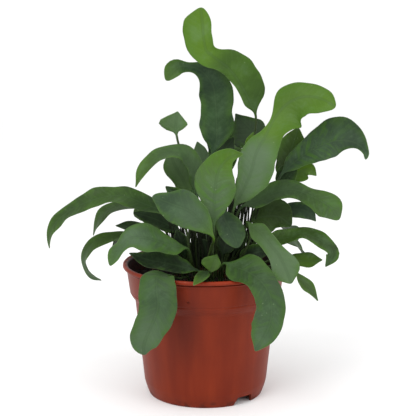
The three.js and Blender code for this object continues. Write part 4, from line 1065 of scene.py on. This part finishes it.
# %% One frond
# Places of the grid in millimetres, and what its finish needs to know about each place.
def frond_grid(frond, number):
    foot = [[*frond["foot"], z] for z in (SOIL - FOOT_DEPTH, SOIL + 1, SOIL + 7)]
    at, shares, length = measured_line(foot + frond["stalk"] + frond["rib"])
    blade_from = shares[len(foot + frond["stalk"])]
    share, u, taper, stalk_rows = frond_rows(blade_from, length)
    middle, ahead = at(share)
    first = unit(np.cross(at(np.array([blade_from]))[1], facing(frond["face"], np.zeros(1))))
    across = unit(np.cross(ahead, facing(frond["face"], u)))
    along_stalk = ahead[:stalk_rows]
    across[:stalk_rows] = unit(first - np.sum(first * along_stalk, axis=1)[:, None] * along_stalk)
    up = unit(np.cross(across, ahead))

    turn = np.linspace(0, 2 * math.pi, AROUND + 1)
    ramp = 1 - np.abs(turn / math.pi - 1)
    s = 0.6 * (2 * ramp - 1) - 0.4 * np.cos(math.pi * ramp)
    face = np.where(turn < math.pi, 1.0, -1.0)
    face[[0, AROUND // 2, -1]] = 0

    run = u * length * (1 - blade_from)
    run_all = run[:, None]
    phase = 2.4 * number
    uneven = 0.03 * np.sin(run_all / 4.1 + phase + s) + 0.015 * np.sin(run_all / 1.7 + 2 * phase - s)
    left, right = along(frond["left"], u), along(frond["right"], u)
    half = (np.where(s[None] < 0, left[:, None], right[:, None]) + SOFT_EDGE) * taper[:, None]
    firm = np.minimum(half / 9, 1)
    waves = length * (1 - blade_from) / WAVE_LENGTH
    ripple = WAVE * firm * s ** 2 * np.sin(waves * 2 * math.pi * u[:, None] + 2 * s)
    ripple += 0.45 * firm * np.abs(s) ** 3 * np.sin(run_all / 2.9 + phase + 1.4 * np.sign(s))
    lift = CUP * s ** 2 * half + ripple
    rib = np.exp(-(s * half / 0.9) ** 2)
    thick = (BLADE_THICK + (RIB_THICK - BLADE_THICK) * rib) * np.sqrt(np.maximum(1 - s ** 6, 0))
    thick = thick * np.sqrt(taper)[:, None]
    off = face * thick / 2 - RIB_SUNK * rib * taper[:, None]

    flat_blade = eased(middle[:, None] + across[:, None] * (s * half)[:, :, None], s, stalk_rows)
    flat_blade = flat_blade + across[:, None] * (uneven * s * half)[:, :, None]
    blade = flat_blade + up[:, None] * (lift + off)[:, :, None]
    stalk_radius = STALK_R * (1 + 0.25 * soft(-share, -0.12, 0))
    ring = -across[:, None] * np.cos(turn)[:, None] + up[:, None] * np.sin(turn)[:, None]
    tube = middle[:, None] + ring * stalk_radius[:, None, None]
    tube[0] = middle[0]
    flat = soft(run, 0, min(12, 0.25 * length * (1 - blade_from)))[:, None, None]
    places = tube * (1 - flat) + blade * flat

    blank = np.zeros_like(half)
    stalk_run = (share - blade_from) * length * (np.arange(len(share)) < stalk_rows)
    leaf = np.stack([s + blank, u[:, None] + blank, face + blank], axis=2)
    sizes = np.stack([s * half, run_all + stalk_run[:, None] + blank, half], axis=2) * MM
    return places, leaf, sizes, u

# %% [markdown]
# ### The colours of a frond
#
# No two fronds have the same green. Old ones are blue-green under a grey waxy bloom, young ones and tips
# are yellow-green, and fronds that lie in shade are painted darker, some with a darker copy of the green.
# Each frond therefore carries, from its base to its tip, how fresh it is, how much bloom it has, how
# blotched it is and how much shade is painted on it; on some shaded fronds the bloom is raised as painted
# light. The mesh carries them as values at its points, together with the distance across and along the
# blade, so that the midrib, the side veins and the pale margin follow every bend.

# %% Frond finish
VEIN_STEP = 4.4
VEIN_SLOPE = 0.75


def frond_paint(name, deep, light, under):
    paint = Paint(name)
    where = paint.place()
    side, share, face = paint.attribute("leaf")
    across, run, half = paint.attribute("leaf_size")
    fresh, bloom, blotch = paint.attribute("tone")
    shade = paint.attribute("shade")[0]
    across, run, half = across * 1000, run * 1000, half * 1000
    blade = run.step(0.0, 8.0)

    # Side veins leave the midrib at an angle and curve towards the tip.
    reach = abs(across)
    wander = paint.noise(where, 110.0, 2.0, 0.5) * 3.2
    vein_run = (run - reach * VEIN_SLOPE + wander) * (2 * math.pi / VEIN_STEP)
    veins = (vein_run.cosine() * 0.5 + 0.5) ** 10 * blade * reach.step(0.6, 1.6)
    midrib = reach.step(0.85, 0.25) * blade
    # Painted shade: a darker line in the groove over the midrib.
    painted_groove_shade = reach.step(1.7, 0.4) * blade
    margin = (half - reach).step(0.55, 0.1) * blade

    # Broad, middling and fine variation of the green.
    broad = paint.noise(where, 34.0, 2.0, 0.5)
    middling = paint.noise(where, 120.0, 3.0, 0.6)
    fine = paint.noise(where, 620.0, 2.0, 0.6)
    streaks = paint.noise(paint.vector(reach * 0.055, (run - reach * VEIN_SLOPE + wander) * 0.24,
                                      face * 0.3 + side.step(-0.02, 0.02) * 3 + middling), 1.0, 2.0, 0.5)
    paint.base(broad.step(0.34, 0.66), deep, light)
    cloudy = paint.noise(where, 60.0, 4.0, 0.7)
    paint.coat(middling.step(0.5, 0.72) * 0.35, light)
    paint.coat(cloudy.step(0.52, 0.38) * 0.65, deep)
    paint.coat(fresh * (0.75 + 0.25 * middling), "#4b6c14")
    # Grey waxy bloom; on some fronds that lie in shade it is raised as painted light.
    paint.coat(bloom * (0.55 + 0.6 * broad).least(1.0), "#51664a")
    paint.coat(blotch * streaks.step(0.46, 0.66) * 0.5, "#416a14")
    paint.coat(blotch * streaks.step(0.42, 0.26) * 0.3, "#5c7b54")
    rim = (abs(side).step(0.4, 0.95) * cloudy.step(0.38, 0.56)).least(1.0)
    paint.coat(rim * 0.55, "#3f6314")
    paint.coat(cloudy.step(0.46, 0.72) * 0.3 * (1 - rim), "#56714f")
    # Painted shade: fronds and parts of fronds that lie in shade are painted darker.
    paint.coat(shade * 0.85, "#0e1c0a")
    paint.coat(veins * 0.02, "#7b9a66")
    paint.coat(painted_groove_shade * 0.2, "#1a2f17")
    paint.coat(midrib * 0.05, "#6f8c5c")
    paint.coat(margin * 0.2, "#86a06c")
    back = face.step(0.2, -0.2)
    paint.coat(back * 0.45, under)
    stalk = 1 - run.step(-6.0, 3.0)
    paint.coat(stalk * 0.85, "#2d3a1b")
    paint.coat(stalk * run.step(-40.0, -95.0) * 0.6, "#1e160e")
    freckle = paint.cells(where, 260.0).step(0.16, 0.05)
    freckle = freckle * paint.noise(where, 90.0, 1.0, 0.5).step(0.6, 0.7)
    paint.coat(freckle * 0.2 * blade, "#9db08a")

    quilt = (vein_run.cosine() * -0.5 + 0.5) * blade * reach.step(0.4, 3.0)
    height = quilt * 0.2 + middling * 0.7 + fine * 0.14 - veins * 0.12
    rough = 0.47 + 0.12 * middling + bloom * 0.12 - fresh * 0.04
    return paint.finish(Base_Color=paint.colour, Roughness=rough, Normal=paint.bump(height, 0.0006, 0.5),
                        Specular_IOR_Level=0.2)


# The dark tint is a darker copy of the frond green: painted shade for fronds that lie in shade.
FROND_PAINTS = {
    "blue": frond_paint("frond_blue_green", "#203621", "#2e4a2b", "#455f3e"),
    "green": frond_paint("frond_mid_green", "#213814", "#2f4a1b", "#45612d"),
    "fresh": frond_paint("frond_fresh_green", "#2e4a12", "#3c5c18", "#536f31"),
    "dark": frond_paint("frond_green_painted_shade", "#12220c", "#1b3112", "#2b4421"),
}

# %% Making every frond
total = 0
for number, frond in enumerate(FRONDS):
    places, leaf, sizes, u = frond_grid(frond, number)
    piece = shaped_grid(frond["name"] + "_leaf", places)
    fresh, bloom, blotch, shade = (along(frond["tones"].get(key, [0, 0]), u)[:, None] + 0 * places[:, :, 0]
                                   for key in ("fresh", "bloom", "blotch", "shade"))
    values = {"leaf": leaf, "leaf_size": sizes, "tone": np.stack([fresh, bloom, blotch], axis=2),
              "shade": np.stack([shade, shade, shade], axis=2)}
    for name, value in values.items():
        stored = piece.data.attributes.new(name, "FLOAT_VECTOR", "POINT")
        stored.data.foreach_set("vector", np.clip(value, -1, 1).reshape(-1))
    close(piece)
    dress(piece, FROND_PAINTS[frond["tint"]], "blade_" + frond["tint"], frond["name"])
    total += len(piece.data.polygons)
print(len(FRONDS), "fronds,", total, "faces")
